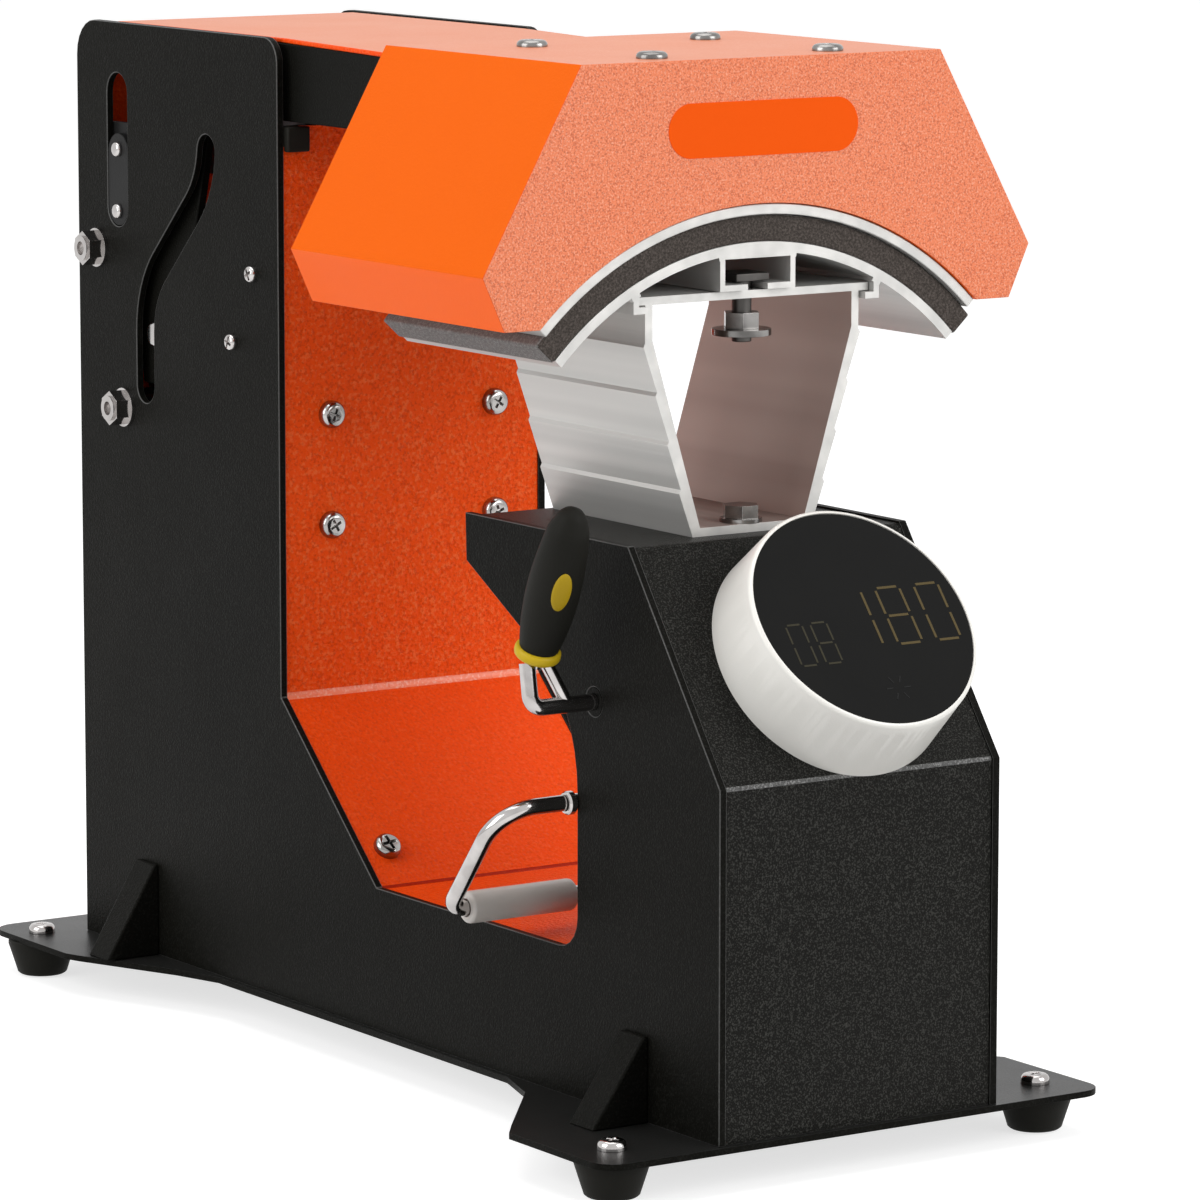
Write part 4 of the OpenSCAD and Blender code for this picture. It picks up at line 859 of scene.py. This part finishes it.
def buildGrip(s=gripSettings):
    axis = Vector((0, -math.sin(math.radians(s["tilt"])), math.cos(math.radians(s["tilt"]))))
    foot = middleOf("grip_collar") - axis * s["collarReach"]
    place = Matrix.Translation(foot) @ Matrix.Rotation(math.radians(s["tilt"]), 4, "X")
    bm = bmesh.new()
    span = s["length"] - s["start"]
    profile = [bm.verts.new((s["neckBore"], 0, s["start"]))]
    for i in range(s["rings"] + 1):
        t = i / s["rings"]
        profile.append(bm.verts.new((gripRadius(t), 0, s["start"] + span * t)))
    edges = [bm.edges.new(pair) for pair in zip(profile, profile[1:])]
    spinClosed(bm, profile, edges, (0, 0, 1), s["segments"], 0.00001)
    for vert in bm.verts:
        angle = math.atan2(vert.co.y, vert.co.x)
        t = max(0.0, (vert.co.z - s["start"]) / span)
        wave = 0.5 + 0.5 * math.cos(s["flutes"] * angle)
        flute = 1.0 - s["fluteDepth"] * wave * math.sin(math.pi * min(1.0, t)) ** 2
        vert.co.x *= flute
        vert.co.y *= flute
    bmesh.ops.transform(bm, verts=bm.verts, matrix=place)
    grip = makePiece(bm, "leverGripRubber", "lever", "black_rubber", angle=60)
    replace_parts(grip, "lever_grip")

    # yellow collar, a thin ring with rounded edges round the grip's neck
    outer, curve, height = s["collarRadius"], s["collarRound"], s["collarHeight"]
    bm = bmesh.new()
    ring = [(s["collarBore"], 0.0), (outer - curve, 0.0)]
    ring += [(outer - curve + curve * math.sin(a), curve - curve * math.cos(a))
             for a in (math.radians(30), math.radians(60), math.radians(90))]
    ring += [(outer - curve + curve * math.cos(a), height - curve + curve * math.sin(a))
             for a in (0.0, math.radians(30), math.radians(60), math.radians(90))]
    ring += [(s["collarBore"], height)]
    verts = [bm.verts.new((radius, 0, z)) for radius, z in ring]
    edges = [bm.edges.new((verts[i - 1], verts[i])) for i in range(len(verts))]
    spinClosed(bm, verts, edges, (0, 0, 1), s["segments"], 0.000005)
    bmesh.ops.transform(bm, verts=bm.verts, matrix=place)
    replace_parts(makePiece(bm, "gripCollarRing", "lever", "yellow_plastic"), "grip_collar")

    # oval inlay, a shallow lens sunk into the belly
    t = (s["inlayAt"] - s["start"]) / span
    bm = bmesh.new()
    bmesh.ops.create_uvsphere(bm, u_segments=40, v_segments=20, radius=1.0)
    bmesh.ops.scale(bm, verts=bm.verts, vec=s["inlaySize"])
    bmesh.ops.translate(bm, verts=bm.verts,
                        vec=(0, -gripRadius(t) * s["inlaySunk"], s["inlayAt"]))
    bmesh.ops.rotate(bm, verts=bm.verts, cent=(0, 0, 0),
                     matrix=Matrix.Rotation(-math.radians(s["inlayTurn"]), 3, "Z"))
    bmesh.ops.transform(bm, verts=bm.verts, matrix=place)
    makePiece(bm, "gripInlay", "lever", "yellow_plastic", inlayYellow, angle=60)


buildGrip()
print("grip done")


# Rollers and sleeves of the wire bail

bailSettings = {
    "rollerShort": 0.0047, "rollerRound": 0.0012, "bore": 0.0029, "segments": 48,
    "sleeveAt": (0.0514, 0.0538), "sleeveRadius": 0.0036, "sleeveLip": (0.0006, 0.0005),
    "wireRadius": 0.0025,
}


def turnedAlongX(bm, profile, segments, y, z):
    # a closed profile of (along, radius) points spun about a line parallel to X
    verts = [bm.verts.new((x, 0, radius)) for x, radius in profile]
    edges = [bm.edges.new((verts[i - 1], verts[i])) for i in range(len(verts))]
    spinClosed(bm, verts, edges, (1, 0, 0), segments, 0.000005)
    bmesh.ops.translate(bm, verts=bm.verts, vec=(0, y, z))


def buildRollers(s=bailSettings):
    for node in ("left_roller", "right_roller"):
        low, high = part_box(node)
        middle = middleOf(node)
        side = math.copysign(1.0, middle.x)
        outer = max(abs(low[0]), abs(high[0]))
        inner = min(abs(low[0]), abs(high[0])) + s["rollerShort"]
        radius, curve = (high[2] - low[2]) / 2, s["rollerRound"]
        profile = [(inner, s["bore"]), (inner, radius - curve)]
        profile += [(inner + curve * (1 - math.cos(a)), radius - curve + curve * math.sin(a))
                    for a in (math.radians(30), math.radians(60))]
        profile += [(inner + curve, radius), (outer - curve, radius)]
        profile += [(outer - curve * (1 - math.cos(a)), radius - curve + curve * math.sin(a))
                    for a in (math.radians(60), math.radians(30))]
        profile += [(outer, radius - curve), (outer, s["bore"])]
        bm = bmesh.new()
        turnedAlongX(bm, [(side * x, r) for x, r in profile], s["segments"], middle.y, middle.z)
        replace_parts(makePiece(bm, node + "Tube", bodyOf(node), "roller_tube"), node)


def buildSleeves(s=bailSettings):
    # thin bright sleeves where the bail's wire enters the side plates
    low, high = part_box("bail_bearings")
    axis = Vector((0, high[1] - (high[2] - low[2]) / 2, (low[2] + high[2]) / 2))
    for name, side in (("leftSleeve", -1), ("rightSleeve", 1)):
        start, end = s["sleeveAt"]
        along, inward = s["sleeveLip"]
        profile = [(start, s["wireRadius"]), (start, s["sleeveRadius"]),
                   (end - along, s["sleeveRadius"]), (end, s["sleeveRadius"] - inward),
                   (end, s["wireRadius"])]
        bm = bmesh.new()
        turnedAlongX(bm, [(side * x, r) for x, r in profile], s["segments"], axis.y, axis.z)
        makePiece(bm, name, "bail", "chrome")


buildRollers()
buildSleeves()
print("rollers done")


# Coiled lift springs

springSettings = {"wire": 0.0009, "turns": 7, "stepsPerTurn": 28, "wireSides": 10}
quarterTurn = Matrix.Rotation(math.pi / 2, 3, "X")


def buildSprings(s=springSettings):
    for index, (low, high) in enumerate(islandBoxes("lift_springs")):
        centre = (low + high) / 2
        radius = (high.x - low.x) / 2 - s["wire"]
        rise = high.z - low.z - 2 * s["wire"]
        steps = s["turns"] * s["stepsPerTurn"]
        bm = bmesh.new()
        bmesh.ops.create_circle(bm, segments=s["wireSides"], radius=s["wire"], cap_ends=False)
        bmesh.ops.rotate(bm, verts=bm.verts, cent=(0, 0, 0), matrix=quarterTurn)
        bmesh.ops.translate(bm, verts=bm.verts, vec=(radius, 0, 0))
        bmesh.ops.spin(bm, geom=list(bm.verts) + list(bm.edges), cent=(0, 0, 0), axis=(0, 0, 1),
                       dvec=(0, 0, rise / steps), angle=math.tau * s["turns"], steps=steps,
                       use_duplicate=False)
        bmesh.ops.holes_fill(bm, edges=bm.edges, sides=0)
        bmesh.ops.translate(bm, verts=bm.verts, vec=(centre.x, centre.y, low.z + s["wire"]))
        spring = makePiece(bm, f"liftSpringCoil{index + 1}", None, "spring_steel", angle=60)
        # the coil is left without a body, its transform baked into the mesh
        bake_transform(spring)
        if index == 0:
            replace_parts(spring, "lift_springs")


buildSprings()
print("springs done")


# Digits and touch mark behind the controller's glass

displaySettings = {
    "lift": 0.00005, "thick": 0.00006,
    "small": {"text": "08", "height": 0.0140, "width": 0.0058, "stroke": 0.0006, "gap": 0.0030,
              "left": -0.0285, "base": -0.0140},
    "large": {"text": "180", "height": 0.0195, "width": 0.0088, "stroke": 0.0008, "gap": 0.0054,
              "left": -0.0060, "base": -0.0100},
    "mark": {"place": (0.0015, -0.0245), "inner": 0.0020, "outer": 0.0044, "stroke": 0.0004,
             "rays": 6},
}
litSegments = {"0": "abcdef", "1": "bc", "8": "abcdefg"}
segmentGap = 2.2


def faceNormal(node, guess):
    faces = [p for p in frame["nodes"][node].data.polygons if p.normal.dot(guess) > 0.97]
    return sum((p.normal * p.area for p in faces), Vector()).normalized()


def segmentPlaces(width, height):
    half = height / 2
    return {
        "a": (width / 2, height, width, 0), "g": (width / 2, half, width, 0),
        "d": (width / 2, 0, width, 0), "f": (0, half * 1.5, half, 1),
        "b": (width, half * 1.5, half, 1), "e": (0, half * 0.5, half, 1),
        "c": (width, half * 0.5, half, 1)}


def addStroke(bm, size, place, turn=0.0):
    made = bmesh.ops.create_cube(bm, size=1.0)["verts"]
    bmesh.ops.scale(bm, vec=size, verts=made)
    bmesh.ops.transform(bm, verts=made, matrix=(
        Matrix.Translation((place[0], place[1], 0)) @ Matrix.Rotation(turn, 4, "Z")))


def addNumber(bm, block, thick):
    for index, digit in enumerate(block["text"]):
        left = block["left"] + index * (block["width"] + block["gap"])
        places = segmentPlaces(block["width"], block["height"])
        for name in sorted(litSegments[digit], key=list(places).index):
            x, y, length, upright = places[name]
            bar = (length - block["stroke"] * segmentGap, block["stroke"])
            addStroke(bm, (*(reversed(bar) if upright else bar), thick),
                      (left + x, block["base"] + y))


def buildDisplay(s=displaySettings):
    normal = faceNormal("display_glass", Vector((0, -0.77, 0.64)))
    mesh = frame["nodes"]["display_glass"].data
    top = max(v.co.dot(normal) for v in mesh.vertices)
    centre = middleOf("display_glass")
    centre += normal * (top - centre.dot(normal) + s["lift"])
    place = Matrix.Translation(centre) @ Matrix.Rotation(math.atan2(-normal.y, normal.z), 4, "X")
    for name, block, finish in (("displayMinutes", s["small"], amberDim),
                                ("displayDegrees", s["large"], amberGlow)):
        bm = bmesh.new()
        addNumber(bm, block, s["thick"])
        bmesh.ops.transform(bm, verts=bm.verts, matrix=place)
        makePiece(bm, name, "frame", "display_glass", finish)

    mark = s["mark"]
    bm = bmesh.new()
    for i in range(mark["rays"]):
        angle = math.tau * i / mark["rays"]
        middle = (mark["inner"] + mark["outer"]) / 2
        spot = (mark["place"][0] + middle * math.cos(angle),
                mark["place"][1] + middle * math.sin(angle))
        addStroke(bm, (mark["outer"] - mark["inner"], mark["stroke"], s["thick"]), spot, angle)
    bmesh.ops.transform(bm, verts=bm.verts, matrix=place)
    makePiece(bm, "touchMark", "frame", "display_glass", faintMark)


buildDisplay()
print("display done")


# Bare smooth plate on the head's front

plateSettings = {
    "halfWidth": 0.0344, "below": 0.0128, "height": 0.0164, "thick": 0.00018, "segments": 64,
}


def buildBlankPlate(s=plateSettings):
    low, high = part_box("head_housing")
    radius = s["height"] / 2
    bm = bmesh.new()
    bmesh.ops.create_circle(bm, cap_ends=True, segments=s["segments"], radius=radius)
    for vert in bm.verts:
        if abs(vert.co.x) > 1e-6:
            vert.co.x += math.copysign(s["halfWidth"] - radius, vert.co.x)
    made = bmesh.ops.extrude_face_region(bm, geom=list(bm.faces))["geom"]
    raised = [g for g in made if isinstance(g, bmesh.types.BMVert)]
    bmesh.ops.translate(bm, verts=raised, vec=(0, 0, s["thick"]))
    bmesh.ops.rotate(bm, verts=bm.verts, cent=(0, 0, 0), matrix=quarterTurn)
    bmesh.ops.translate(bm, verts=bm.verts, vec=(0, low[1], high[2] - s["below"] - radius))
    makePiece(bm, "blankPlate", "head", "head_orange", bareOrange)


buildBlankPlate()
print("blank plate done")


# Floor, light and camera

studio = {
    "worldLevel": 0.55, "floorColour": (0.55, 0.55, 0.55), "floorGlow": 0.70, "floorDrop": 0.0004,
    "floorHalf": 14.0, "floorRough": 0.9, "cameraPlace": (-1.08829, -1.49466, 0.45333),
    "cameraTurn": (81.349, -0.028, -33.656), "lens": 190.62, "sensor": 36.0, "seeTo": 60.0,
    "lamps": [
        ("keyBox", (0.75, -1.55, 0.95), 1.1, 16.0),
        ("sideBox", (-1.6, 0.1, 0.9), 1.2, 15.0),
        ("topBox", (0.0, 0.1, 1.7), 1.4, 12.0),
    ],
    "lampTarget": (0.0, 0.0, 0.2),
}


def seenDirectly(tree, kinds):
    path = tree.nodes.new("ShaderNodeLightPath")
    seen = path.outputs[kinds[0]]
    for kind in kinds[1:]:
        seen = mathNode(tree, "MAXIMUM", seen, path.outputs[kind])
    return seen


def buildWorld(s=studio):
    world = bpy.data.worlds.new("studioWorld")
    bpy.context.scene.world = world
    world.use_nodes = True
    tree = world.node_tree
    background = tree.nodes["Background"]
    background.inputs["Color"].default_value = (1.0, 1.0, 1.0, 1.0)
    seen = seenDirectly(tree, ("Is Camera Ray", "Is Transmission Ray", "Is Glossy Ray"))
    level = mathNode(tree, "MULTIPLY_ADD", seen, 1.0 - s["worldLevel"])
    level.node.inputs[2].default_value = s["worldLevel"]
    tree.links.new(level, background.inputs["Strength"])


def buildFloor(s=studio):
    bm = bmesh.new()
    bmesh.ops.create_grid(bm, x_segments=2, y_segments=2, size=s["floorHalf"])
    floor = linkedObject(bm, "paleFloor")
    floor.location.z = -s["floorDrop"]
    material = bpy.data.materials.new("floorPaper")
    material.use_nodes = True
    tree = material.node_tree
    shader = tree.nodes["Principled BSDF"]
    shader.inputs["Base Color"].default_value = (*s["floorColour"], 1.0)
    shader.inputs["Roughness"].default_value = s["floorRough"]
    shader.inputs["Specular IOR Level"].default_value = 0.0
    shader.inputs["Emission Color"].default_value = (1.0, 1.0, 1.0, 1.0)
    seen = seenDirectly(tree, ("Is Camera Ray", "Is Glossy Ray"))
    glow = mathNode(tree, "MULTIPLY", seen, s["floorGlow"])
    tree.links.new(glow, shader.inputs["Emission Strength"])
    floor.data.materials.append(material)


def buildLights(s=studio):
    for name, place, size, energy in s["lamps"]:
        light = bpy.data.lights.new(name, "AREA")
        light.shape = "SQUARE"
        light.size = size
        light.energy = energy
        lamp = bpy.data.objects.new(name, light)
        lamp.location = place
        aim = Vector(s["lampTarget"]) - Vector(place)
        lamp.rotation_euler = aim.to_track_quat("-Z", "Y").to_euler()
        bpy.context.scene.collection.objects.link(lamp)


def buildCamera(s=studio):
    # its place is measured from the front edge of the side plates
    camera = bpy.data.cameras.new("photoCamera")
    camera.lens = s["lens"]
    camera.sensor_width = s["sensor"]
    camera.clip_end = s["seeTo"]
    holder = bpy.data.objects.new("photoCamera", camera)
    holder.location = Vector(s["cameraPlace"]) + Vector((0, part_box("left_side_plate")[0][1], 0))
    holder.rotation_euler = [math.radians(a) for a in s["cameraTurn"]]
    bpy.context.scene.collection.objects.link(holder)
    bpy.context.scene.camera = holder


bpy.context.scene.view_settings.view_transform = "Standard"
buildWorld()
buildFloor()
buildLights()
buildCamera()
print("studio done")

for node, piece in frame["nodes"].items():
    if not piece.hide_render:
        piece.data.materials.clear()
        piece.data.materials.append(finishes[slotOf(node)])
